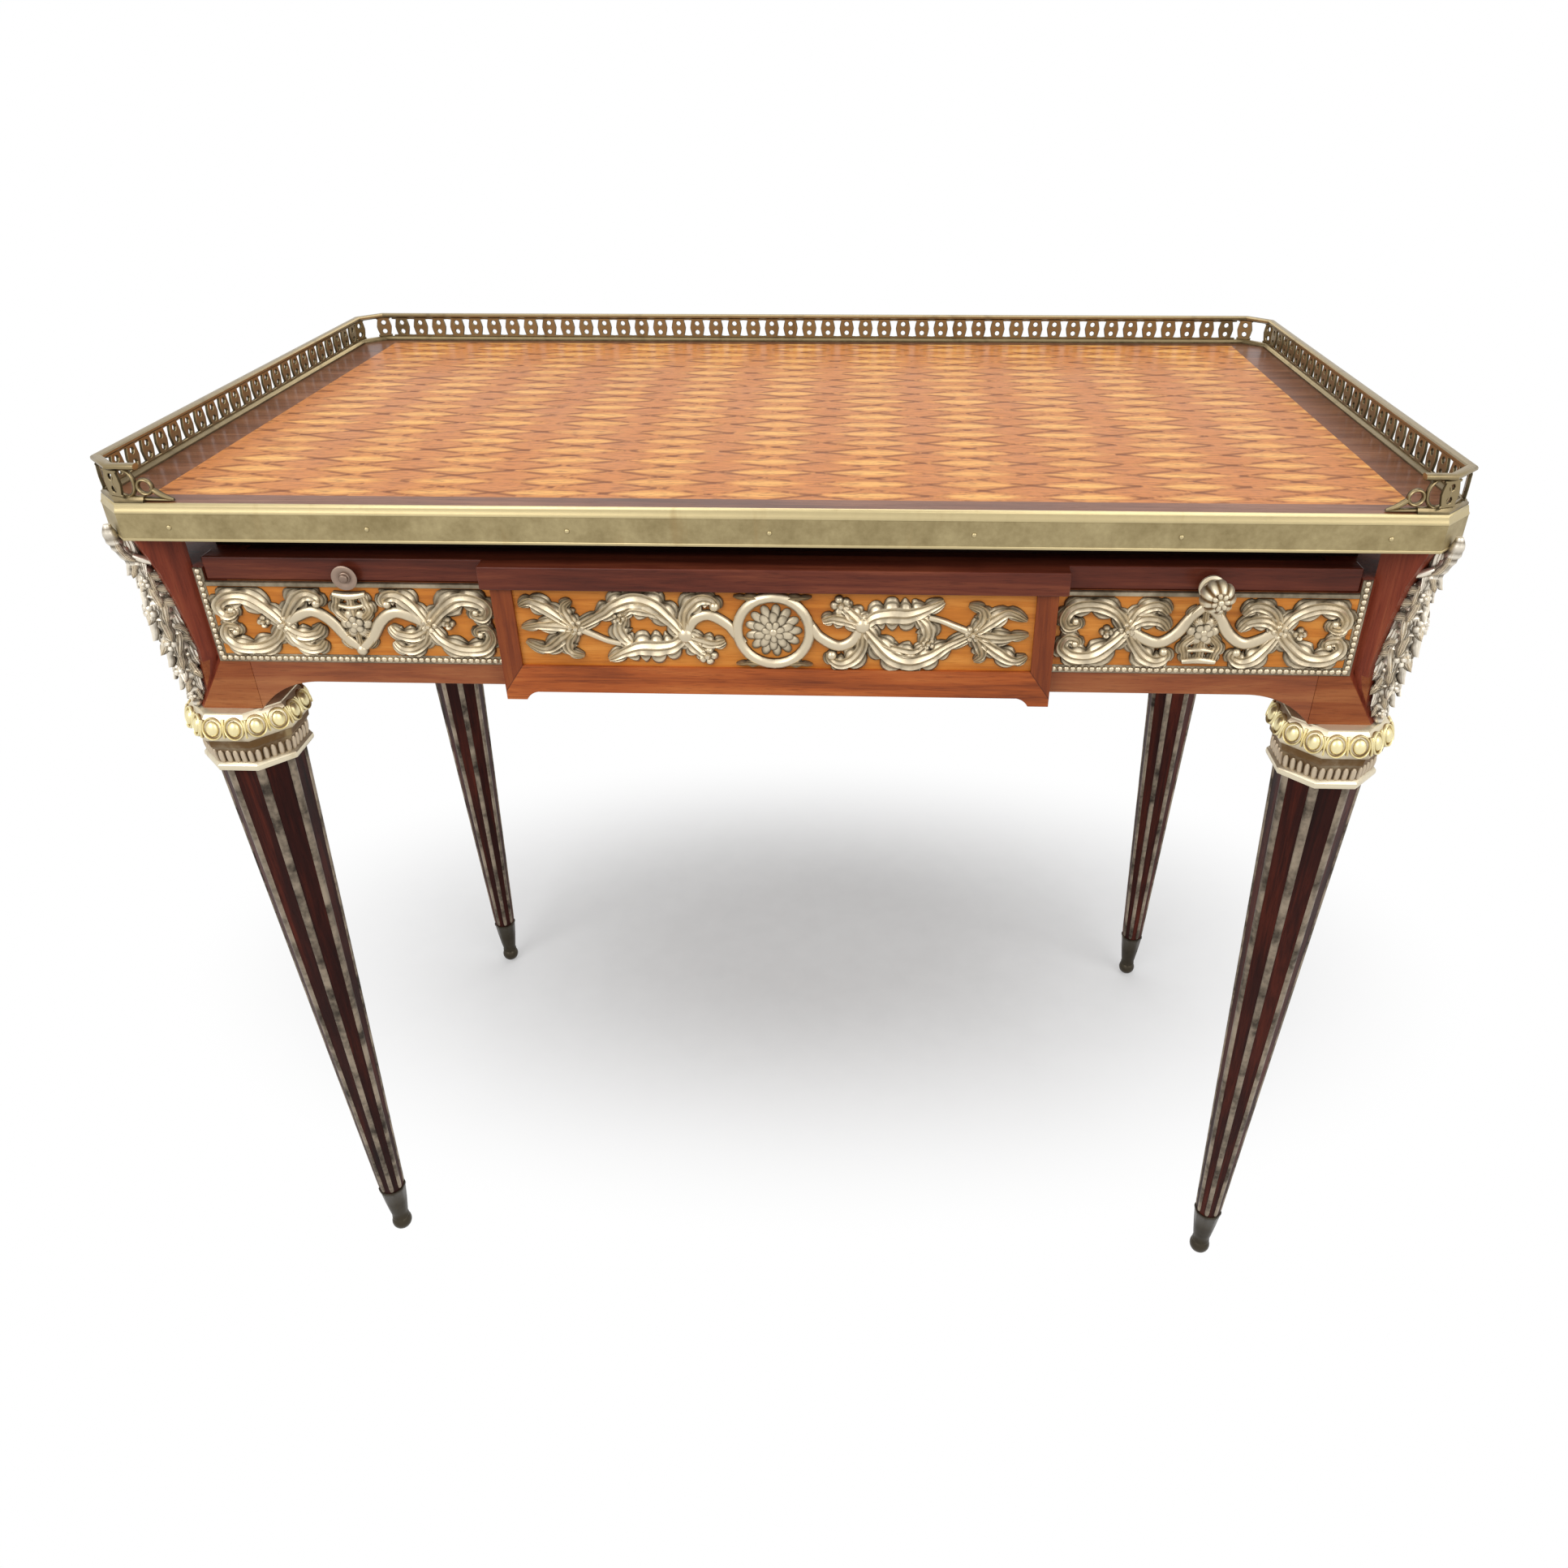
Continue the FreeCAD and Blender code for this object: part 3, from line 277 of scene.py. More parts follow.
RAIL_MAHOGANY = (tone(88, 40, 22), tone(146, 78, 42), tone(176, 112, 66))


class Grain(Enum):
    """The way the grain of a wood runs."""

    ALONG_X = (5.0, 90.0, 90.0)
    ALONG_Y = (90.0, 5.0, 90.0)
    UPRIGHT = (90.0, 90.0, 5.0)


class Finish:
    """A finish that becomes a material the first time it is asked for."""

    made: Dict[str, bpy.types.Material] = {}
    name: str

    def material(self) -> bpy.types.Material:
        """Looks the material up, or makes it.

        Returns:
            The finish as a material.
        """
        if self.name not in Finish.made:
            Finish.made[self.name] = bpy.data.materials.new(self.name)
            self.paint(Graph(Finish.made[self.name]))
        return Finish.made[self.name]

    def paint(self, graph: Graph) -> None:
        """Adds the finish's nodes to a graph."""
        raise NotImplementedError


@dataclass(frozen=True)
class PolishedWood(Finish):
    """Veneer or solid wood under a worn polish."""

    name: str
    dark: Colour
    middle: Colour
    light: Colour
    grain: Grain
    gloss: float = 0.32
    coat: float = 0.35
    figure: float = 1.0
    shine: float = 0.28

    def colour(self, graph: Graph, grain: Optional[Grain] = None) -> Tuple[Value, Value]:
        """Streaks, cloudy figure and pores of the wood.

        Args:
            graph: Where the nodes go.
            grain: Another way for the grain to run.

        Returns:
            The colour and the height of the pores.
        """
        run = graph.stretched((grain or self.grain).value)
        cloud = graph.noise(graph.place(), 9.0, 3.0)
        streak = graph.noise(run, 1.0, 6.0, 0.62, 0.6 * self.figure)
        fine = graph.noise(run, 5.0, 3.0, 0.6)
        pores = graph.noise(run, 16.0, 2.0, 0.5).ramp(0.56, 0.68)
        mixed = streak * 0.62 + cloud * 0.28 + fine * 0.16
        stops = ((0.36, self.dark), (0.52, self.middle), (0.70, self.light))
        base = graph.colours(mixed, stops)
        return graph.blend(pores * 0.35, base, self.dark), pores

    def paint(self, graph: Graph) -> None:
        """Adds the wood's nodes to a graph."""
        colour, pores = self.colour(graph)
        self.polish(graph, colour, pores)

    def polish(self, graph: Graph, colour: Value, pores: Value) -> None:
        """Rubbed polish over a colour.

        Args:
            graph: Where the nodes go.
            colour: Colour of the wood.
            pores: Where the polish sinks in.
        """
        rub = graph.noise(graph.place(), 26.0, 5.0)
        roughness = self.gloss - 0.08 + rub * 0.18 + pores * 0.08
        normal = graph.bump(rub * 0.5 - pores, 0.12, 0.0006)
        graph.surface(base_color=colour, roughness=roughness, normal=normal, coat_weight=self.coat,
                      coat_roughness=0.12, specular_ior_level=self.shine)


@dataclass(frozen=True)
class MitredFrame(PolishedWood):
    """Front of the drawer: upright grain in the stiles and level grain in the rail, mitred."""

    stile_x: float = 0.172
    rail_z: float = 0.646
    slope: float = 20.0 / 14.0

    def paint(self, graph: Graph) -> None:
        """Adds the frame's nodes to a graph.

        Args:
            graph: Where the nodes go.
        """
        x, _, z = graph.axes()
        above = (z - self.rail_z) + (x.size() - self.stile_x) * self.slope
        stile = above.ramp(-0.0002, 0.0002)
        level, pores = self.colour(graph, Grain.ALONG_X)
        upright, _ = self.colour(graph, Grain.UPRIGHT)
        shaded = graph.blend(0.55, upright, self.dark)
        joint = 1.0 - above.size().ramp(0.0002, 0.0009)
        colour = graph.blend(joint * 0.6, graph.blend(stile, level, shaded), tone(40, 16, 10))
        self.polish(graph, colour, pores)


@dataclass(frozen=True)
class CornerPostWood(PolishedWood):
    """Upright wood, crossed at the foot of the front and back faces by the rail's level veneer."""

    foot_z: float = 0.642
    face_y: float = 0.2255
    veneer: Tuple[Colour, Colour, Colour] = RAIL_MAHOGANY

    def paint(self, graph: Graph) -> None:
        """Adds the post's nodes to a graph.

        Args:
            graph: Where the nodes go.
        """
        _, y, z = graph.axes()
        face = (y - CENTRE_Y).size().ramp(self.face_y - 0.0002, self.face_y + 0.0002)
        foot = face * (1.0 - z.ramp(self.foot_z - 0.0003, self.foot_z + 0.0003))
        upright, pores = self.colour(graph)
        rail = PolishedWood(self.name, *self.veneer, Grain.ALONG_X)
        level, _ = rail.colour(graph)
        self.polish(graph, graph.blend(foot, upright, level), pores)


@dataclass(frozen=True)
class Parquetry(PolishedWood):
    """Trellis of lozenges in columns, pale in the heart or pink by turns, with dark joints."""

    length: float = 0.070
    depth: float = 0.023
    shift: float = 0.028
    pink: Colour = tone(200, 124, 64)
    joint: Colour = tone(132, 74, 30)

    def paint(self, graph: Graph) -> None:
        """Adds the parquetry's nodes to a graph.

        Args:
            graph: Where the nodes go.
        """
        x, y, _ = graph.axes()
        place = graph.place()
        sway = (graph.noise(place, 18.0, 2.0) - 0.5) * 0.2 + 200.0
        first = (x - self.shift) / self.length + y / self.depth + sway
        second = (x - self.shift) / self.length - y / self.depth + sway
        row, column = first.floor(), second.floor()
        parity = (row + column).beyond(2.0)
        own = graph.node("ShaderNodeTexWhiteNoise", {"noise_dimensions": "2D"},
                         {"Vector": graph.vector(row, column, 0.0)}, 0)
        streak = graph.noise(graph.vector(x * 18.0 + own * 7.0, y * 240.0, own * 9.0), 1.0, 6.0,
                             0.62, 0.5)
        cloud = graph.noise(place, 5.0, 3.0)
        over, under = first - row - 0.5, second - column - 0.5
        rise, reach = (over - under).size(), (over + under).size()
        heart = (1.0 - rise * 1.5 - reach * reach * 1.3).ramp(0.05, 0.75) * (1.0 - parity)
        ground = graph.blend((streak * 0.9 + cloud * 0.5).ramp(0.40, 0.95), self.dark, self.middle)
        mixed = graph.blend(parity * (1.0 - reach * 0.7) * 0.8, ground, self.pink)
        warm = graph.blend(heart * (0.22 + own * 0.40 + streak * 0.5), mixed, self.light)
        broken = graph.noise(graph.stretched((70.0, 40.0, 50.0)), 1.0, 3.0).ramp(0.40, 0.58)
        seam = (over.size().ramp(0.36, 0.49) + under.size().ramp(0.36, 0.49)) * broken * 0.85
        dashes = graph.noise(graph.stretched((46.0, 330.0, 50.0)), 1.0, 3.0).ramp(0.53, 0.68)
        flecks = graph.noise(graph.stretched((105.0, 520.0, 50.0)), 1.0, 2.0).ramp(0.50, 0.66)
        crossed = graph.blend(flecks * 0.42, graph.blend(dashes * 0.5, warm, self.joint),
                              self.joint)
        colour = graph.blend(seam, crossed, self.joint)
        self.polish(graph, colour, seam)


@dataclass(frozen=True)
class Metal(Finish):
    """Gilt, brass or bronze: painted shade in its hollows, painted highlight on its crowns, stains.
    """

    name: str
    # Colours of the hollows, with painted shade, and of the crowns, with painted highlight; then a
    # stain.
    hollow: Colour
    bright: Colour
    stain: Colour
    roughness: float = 0.34
    shaped: bool = True
    metallic: float = 0.85
    speckle: float = 260.0

    def paint(self, graph: Graph) -> None:
        """Adds the metal's nodes to a graph.

        Args:
            graph: Where the nodes go.
        """
        place = graph.place()
        cloud = graph.noise(place, 42.0, 5.0)
        grit = graph.noise(place, self.speckle, 4.0)
        # Where shaped, the rise paints shade in the hollows and highlight on the crowns; noise adds
        # mottle.
        if self.shaped:
            rise = graph.node("ShaderNodeAttribute", {"attribute_name": "rise"}, None, "Fac")
            light_and_mottle = (rise + (cloud - 0.5) * 0.6 + (grit - 0.5) * 0.3).ramp(0.08, 0.88)
        else:
            light_and_mottle = (cloud * 0.75 + grit * 0.25).ramp(0.30, 0.66)
        # Colour between the painted shade of the hollows and the painted highlight of the crowns.
        worn = graph.blend(light_and_mottle, self.hollow, self.bright)
        runs = graph.noise(graph.stretched((60.0, 60.0, 9.0)), 1.0, 4.0).ramp(0.56, 0.74)
        colour = graph.blend(runs * 0.5, worn, self.stain)
        roughness = self.roughness + 0.22 - light_and_mottle * 0.22 + (grit - 0.5) * 0.16
        normal = graph.bump(grit * 0.6 + cloud * 0.4, 0.16, 0.0005)
        graph.surface(base_color=colour, roughness=roughness, metallic=self.metallic, normal=normal)


@dataclass(frozen=True)
class Leather(Finish):
    """Tooled leather with a fine pebble and worn patches."""

    name: str
    dark: Colour
    light: Colour

    def paint(self, graph: Graph) -> None:
        """Adds the leather's nodes to a graph.

        Args:
            graph: Where the nodes go.
        """
        place = graph.place()
        pebble = graph.node("ShaderNodeTexVoronoi", {"feature": "DISTANCE_TO_EDGE"},
                            {"Vector": place, "Scale": 900.0}, "Distance")
        cloud = graph.noise(place, 14.0, 5.0)
        colour = graph.blend((cloud * 0.8 + pebble * 0.6).ramp(0.25, 0.85), self.dark, self.light)
        normal = graph.bump(pebble, 0.35, 0.0004)
        graph.surface(base_color=colour, roughness=0.62 - cloud * 0.2, normal=normal)


@dataclass(frozen=True)
class PaleFloor(Finish):
    """Floor with the table's cast shadow inside a painted grey shadow that fades to plain white."""

    name: str
    shade_middle: Tuple[float, float] = (0.0, 0.26)
    shade_reach: Tuple[float, float] = (0.84, 0.46)

    def paint(self, graph: Graph) -> None:
        """Adds the floor's nodes to a graph.

        Args:
            graph: Where the nodes go.
        """
        x, y, _ = graph.axes()
        across = (x - self.shade_middle[0]) / self.shade_reach[0]
        along = (y - self.shade_middle[1]) / self.shade_reach[1]
        away = graph.node("ShaderNodeVectorMath", {"operation": "LENGTH"},
                          {0: graph.vector(across, along, 0.0)}, "Value")
        # Painted shadow: within the ellipse the camera sees the grey floor, beyond it plain white.
        seen = graph.seen() * away.ramp(0.15, 1.0)
        grain = graph.noise(graph.place(), 30.0, 3.0)
        # Grey albedo, which deepens the cast shadow and the painted shadow.
        colour = graph.blend(grain, tone(208, 208, 208), tone(216, 216, 216))
        matt = graph.node("ShaderNodeBsdfDiffuse", None, {"Color": colour})
        white = graph.node("ShaderNodeEmission", None, {"Color": WHITE, "Strength": 1.0})
        graph.output(graph.node("ShaderNodeMixShader", None, {0: seen, 1: matt, 2: white}))


class Finishes:
    """Every finish of the table."""

    frieze = PolishedWood("frieze_mahogany", *RAIL_MAHOGANY, Grain.ALONG_X, 0.42, 0.08)
    side = PolishedWood("side_mahogany", *RAIL_MAHOGANY, Grain.ALONG_Y, 0.42, 0.08)
    post = CornerPostWood("post_mahogany", tone(82, 34, 23), tone(130, 58, 38), tone(154, 80, 52),
                          Grain.UPRIGHT, 0.44, 0.05, 1.0, 0.16)
    drawer = MitredFrame("drawer_mahogany", tone(92, 38, 20), tone(170, 86, 38), tone(204, 120, 60),
                         Grain.ALONG_X, 0.36, 0.10, 1.0, 0.18)
    slide = PolishedWood("slide_mahogany", tone(58, 24, 17), tone(100, 46, 31), tone(138, 74, 48),
                         Grain.ALONG_X, 0.36, 0.10, 1.0, 0.16)
    # Neck rails: their wood painted near black, as the painted shade of the gap under the top.
    neck_wood_and_shade = PolishedWood("neck_wood_painted_shade", tone(24, 12, 9), tone(48, 25, 19), tone(74, 40, 30),
                        Grain.ALONG_X, 0.45, 0.1)
    leg = PolishedWood("leg_wood", tone(18, 7, 6), tone(50, 19, 14), tone(92, 38, 25),
                       Grain.UPRIGHT, 0.52, 0.02, 1.0, 0.08)
    satin = PolishedWood("satinwood", tone(168, 92, 28), tone(206, 126, 46), tone(230, 158, 74),
                         Grain.ALONG_X, 0.34, 0.10, 1.6, 0.20)
    parquetry = Parquetry("parquetry", tone(190, 114, 52), tone(224, 151, 76), tone(246, 186, 102),
                          Grain.ALONG_X, 0.34, 0.04, 1.0, 0.12)
    crossband = PolishedWood("crossband", tone(66, 36, 22), tone(112, 66, 42), tone(150, 100, 70),
                             Grain.ALONG_X, 0.32, 0.12, 1.0, 0.20)
    inner = PolishedWood("inner_oak", tone(120, 84, 52), tone(164, 122, 80), tone(192, 152, 108),
                         Grain.ALONG_Y, 0.6, 0.0)
    board = PolishedWood("top_board_oak", tone(84, 54, 34), tone(122, 84, 54), tone(150, 108, 74),
                         Grain.ALONG_X, 0.6, 0.0)
    # Metals: a hollow colour with painted shade, a crown colour with painted highlight, and a
    # stain.
    band = Metal("band_brass", tone(128, 112, 74), tone(194, 177, 133), tone(160, 134, 90),
                 0.36, True, 0.75)
    gallery = Metal("gallery_brass", tone(62, 53, 35), tone(148, 131, 96), tone(98, 83, 57), 0.32)
    gilt = Metal("champagne_gilt", tone(80, 69, 53), tone(210, 195, 167), tone(150, 135, 111), 0.34)
    pendant = Metal("pale_gilt", tone(112, 101, 86), tone(240, 231, 214), tone(186, 174, 154), 0.38)
    capital = Metal("yellow_gilt", tone(106, 77, 41), tone(226, 214, 186), tone(190, 170, 127),
                    0.36, True, 0.7)
    egg = Metal("egg_gilt", tone(132, 95, 41), tone(242, 228, 176), tone(204, 178, 116),
                0.34, True, 0.7)
    leaf = Metal("leaf_gilt", tone(92, 70, 46), tone(200, 182, 156), tone(150, 126, 100),
                 0.40, True, 0.7)
    strip = Metal("strip_brass", tone(48, 41, 35), tone(158, 143, 124), tone(84, 72, 61),
                  0.42, False)
    sabot = Metal("sabot_bronze", tone(33, 29, 24), tone(68, 61, 49), tone(48, 42, 33), 0.36)
    stud = Metal("stud_bronze", tone(62, 46, 40), tone(158, 136, 120), tone(100, 78, 68), 0.42)
    leather = Leather("writing_leather", tone(44, 62, 46), tone(74, 92, 66))
    floor = PaleFloor("pale_floor")


# Mesh tools, in table millimetres: from the middle of the top, above the floor

def smooth(points: Sequence[Plane], count: int) -> List[Plane]:
    """Spreads points along a smooth line.

    Args:
        points: Points that the line passes.
        count: How many points to hand back.

    Returns:
        Points along the line.
    """
    padded = [points[0]] + list(points) + [points[-1]]
    spans = len(points) - 1
    line = []
    for k in range(count):
        place = k / (count - 1) * spans
        span = min(int(place), spans - 1)
        t = place - span
        before, start, end, after = padded[span:span + 4]
        line.append(tuple(
            0.5 * (2 * q + (r - p) * t + (2 * p - 5 * q + 4 * r - s) * t ** 2
                   + (3 * q - p - 3 * r + s) * t ** 3)
            for p, q, r, s in zip(before, start, end, after)))
    return line


def scaled(path: Sequence[Plane], across: float, up: float) -> List[Plane]:
    """Scales a path along both of its axes."""
    return [(a * across, b * up) for a, b in path]


def symmetric(half: Sequence[Plane]) -> Tuple[Plane, ...]:
    """A section that is the same on both sides, from its right half, outside first."""
    right = [place for place in reversed(half) if place[0]]
    return tuple(scaled(half, -1.0, 1.0) + right)


def circle(count: int, start: float = 0.0) -> List[Plane]:
    """Cosine and sine of even steps round a circle, from a start angle."""
    angles = [start + 2 * math.pi * k / count for k in range(count)]
    return [(math.cos(angle), math.sin(angle)) for angle in angles]


def station(values: Sequence[float], share: float) -> float:
    """A value between even stations along a length.

    Args:
        values: The values at the stations.
        share: Place along the length, nought to one.

    Returns:
        The value there.
    """
    place = share * (len(values) - 1)
    low = min(int(place), len(values) - 2)
    return values[low] + (values[low + 1] - values[low]) * (place - low)


def canted(inset: float, z: float) -> Ring:
    """Corners of the canted top, set in evenly, from the front right round to the front left.

    Args:
        inset: How far the outline is set in.
        z: Its level.

    Returns:
        The eight corners.
    """
    x = TableSizes.half_width - inset
    y = TableSizes.half_depth - inset
    cut = TableSizes.cant - inset * (2 - math.sqrt(2))
    plan = ((x - cut, -y), (x, cut - y), (x, y - cut), (x - cut, y),
            (cut - x, y), (-x, y - cut), (-x, cut - y), (cut - x, -y))
    return [Vector((a, b, z)) for a, b in plan]


class TableSizes:
    """Sizes that several pieces share, some read from the frame and some given."""

    half_width = (BAND_HIGH.x - BAND_LOW.x) / 2 / MM
    half_depth = (BAND_HIGH.y - BAND_LOW.y) / 2 / MM
    cant = 21.0
    top = BAND_HIGH.z / MM
    underside = BAND_LOW.z / MM
    leg_x = 393.0
    leg_y = 200.0
    post_side = 419.0
    post_front = 226.0
    capital_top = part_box("capital_front_left")[1].z / MM
    capital_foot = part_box("capital_front_left")[0].z / MM
    bead_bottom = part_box("bead_border_left")[0].z / MM
    sabot_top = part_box("sabot_front_left")[1].z / MM


class Shell:
    """Closed surfaces of one piece, with a rise that tells its hollows from its crowns."""

    # Each point's rise is its height, which the shaped metals turn into painted shade and
    # highlight.
    def __init__(self) -> None:
        """Starts with no surface."""
        self.points: List[Vector] = []
        self.faces: List[Tuple[int, ...]] = []
        self.rise: List[float] = []

    def loft(self, rows: Sequence[Ring], rises: Sequence[Sequence[float]],
             around: bool = False) -> None:
        """Adds a closed skin through rings of equal count.

        Args:
            rows: The rings in order.
            rises: A rise for each point.
            around: True where the last ring joins the first.
        """
        start = len(self.points)
        count = len(rows[0])
        for row, rise in zip(rows, rises):
            self.points.extend(row)
            self.rise.extend(rise)
        spans = len(rows) if around else len(rows) - 1
        for k in range(spans):
            low = start + k * count
            high = start + (k + 1) % len(rows) * count
            for j in range(count):
                after = (j + 1) % count
                self.faces.append((low + j, low + after, high + after, high + j))
        if not around:
            self.faces.append(tuple(start + j for j in range(count)))
            self.faces.append(tuple(start + (len(rows) - 1) * count + j for j in range(count)))

    def copy(self, change: Callable[[Vector], Vector]) -> "Shell":
        """The same surfaces with every point moved.

        Args:
            change: Where each point goes.

        Returns:
            The new shell.
        """
        other = Shell()
        other.points = [change(point) for point in self.points]
        other.faces = list(self.faces)
        other.rise = list(self.rise)
        return other

    def take(self, other: "Shell") -> None:
        """Takes in the surfaces of another shell.

        Args:
            other: The other shell.
        """
        start = len(self.points)
        self.points.extend(other.points)
        self.rise.extend(other.rise)
        self.faces.extend(tuple(start + k for k in face) for face in other.faces)

    def kept(self, low: Vector, high: Vector, gap: float = 0.3) -> "Shell":
        """The same surfaces, held inside the front view of a box in metres.

        Args:
            low: The box's low corner.
            high: The box's high corner.
            gap: Room left inside it, millimetres.

        Returns:
            The new shell.
        """
        edges = [(low[k] / MM + gap, high[k] / MM - gap) for k in range(3)]
        return self.copy(lambda p: Vector((max(edges[0][0], min(edges[0][1], p.x)), p.y,
                                           max(edges[2][0], min(edges[2][1], p.z)))))

    def corners(self) -> List["Shell"]:
        """The shell and its mirrored forms, in the order of the corners' names."""
        return [self.copy(lambda p, sx=sx, sy=sy: Vector((p.x * sx, p.y * sy, p.z)))
                for sy in (1, -1) for sx in (1, -1)]

    def mirrored(self) -> "Shell":
        """The same surfaces on the table's other side."""
        return self.copy(lambda p: Vector((-p.x, p.y, p.z)))

    def half_turned(self, level: float) -> "Shell":
        """The same surfaces on the other side and upside down about a level."""
        return self.copy(lambda p: Vector((-p.x, p.y, 2 * level - p.z)))

    def piece(self, name: str, finish: Finish, sharp: float = CRISP,
              centred: bool = True) -> bpy.types.Object:
        """Makes the shell an object in the frame's metres.

        Args:
            name: The object's name.
            finish: What it is made of.
            sharp: Edges that bend by more degrees than this stay crisp.
            centred: False for a shape that is placed later, by a tree.

        Returns:
            The object, at the origin.
        """
        shift = MIDDLE if centred else Vector()
        form = bmesh.new()
        layer = form.verts.layers.float.new("rise")
        made = []
        for point, rise in zip(self.points, self.rise):
            vertex = form.verts.new(point * MM + shift)
            vertex[layer] = rise
            made.append(vertex)
        for face in self.faces:
            form.faces.new([made[k] for k in face])
        bmesh.ops.remove_doubles(form, verts=form.verts, dist=WELD)
        bmesh.ops.recalc_face_normals(form, faces=form.faces)
        mesh = bpy.data.meshes.new(name)
        form.to_mesh(mesh)
        form.free()
        return stand(name, mesh, finish, sharp)


def show(name: str, data: bpy.types.ID) -> bpy.types.Object:
    """Puts new data in the scene.

    Args:
        name: The object's name.
        data: Its mesh, curve, lamp or camera.

    Returns:
        The object.
    """
    made = bpy.data.objects.new(name, data)
    bpy.context.scene.collection.objects.link(made)
    return made


def settled(source: bpy.types.Object) -> bpy.types.Mesh:
    """Makes what an object shows a plain mesh, and removes its modifiers and the object.

    Args:
        source: The object.

    Returns:
        The mesh.
    """
    graph = bpy.context.evaluated_depsgraph_get()
    mesh = bpy.data.meshes.new_from_object(source.evaluated_get(graph))
    source.modifiers.clear()
    bpy.data.objects.remove(source)
    return mesh


def stand(name: str, mesh: bpy.types.Mesh, finish: Finish, sharp: float) -> bpy.types.Object:
    """Puts a mesh in the scene with one material and crisp arrises.

    Args:
        name: The object's name.
        mesh: The mesh.
        finish: What it is made of.
        sharp: Edges that bend by more degrees than this stay crisp.

    Returns:
        The object.
    """
    mesh.name = name
    mesh.materials.clear()
    mesh.materials.append(finish.material())
    mesh.shade_smooth()
    mesh.set_sharp_from_angle(angle=math.radians(sharp))
    return show(name, mesh)


@dataclass
class Facet:
    """A flat place that carries relief."""

    origin: Vector
    along: Vector
    up: Vector
    out: Vector

    def point(self, a: float, b: float, height: float) -> Vector:
        """A place over the facet."""
        return self.origin + self.along * a + self.up * b + self.out * height


def facing_front(origin: Vector) -> Facet:
    """An upright facet on the front."""
    return Facet(origin, X_AXIS, Z_AXIS, FRONT)


def lying(height: float) -> Facet:
    """A level facet over the origin."""
    return Facet(Z_AXIS * height, X_AXIS, Y_AXIS, Z_AXIS)


class Leaf(Enum):
    """Sections of a strap, as shares of its half width and its crown."""

    ACANTHUS = symmetric(((1.0, 0.0), (1.0, 0.30), (0.84, 0.58), (0.66, 0.40), (0.44, 0.82),
                          (0.22, 0.52), (0.0, 1.0)))
    STEM = symmetric(((1.0, 0.0), (0.95, 0.42), (0.62, 0.82), (0.2, 0.98)))


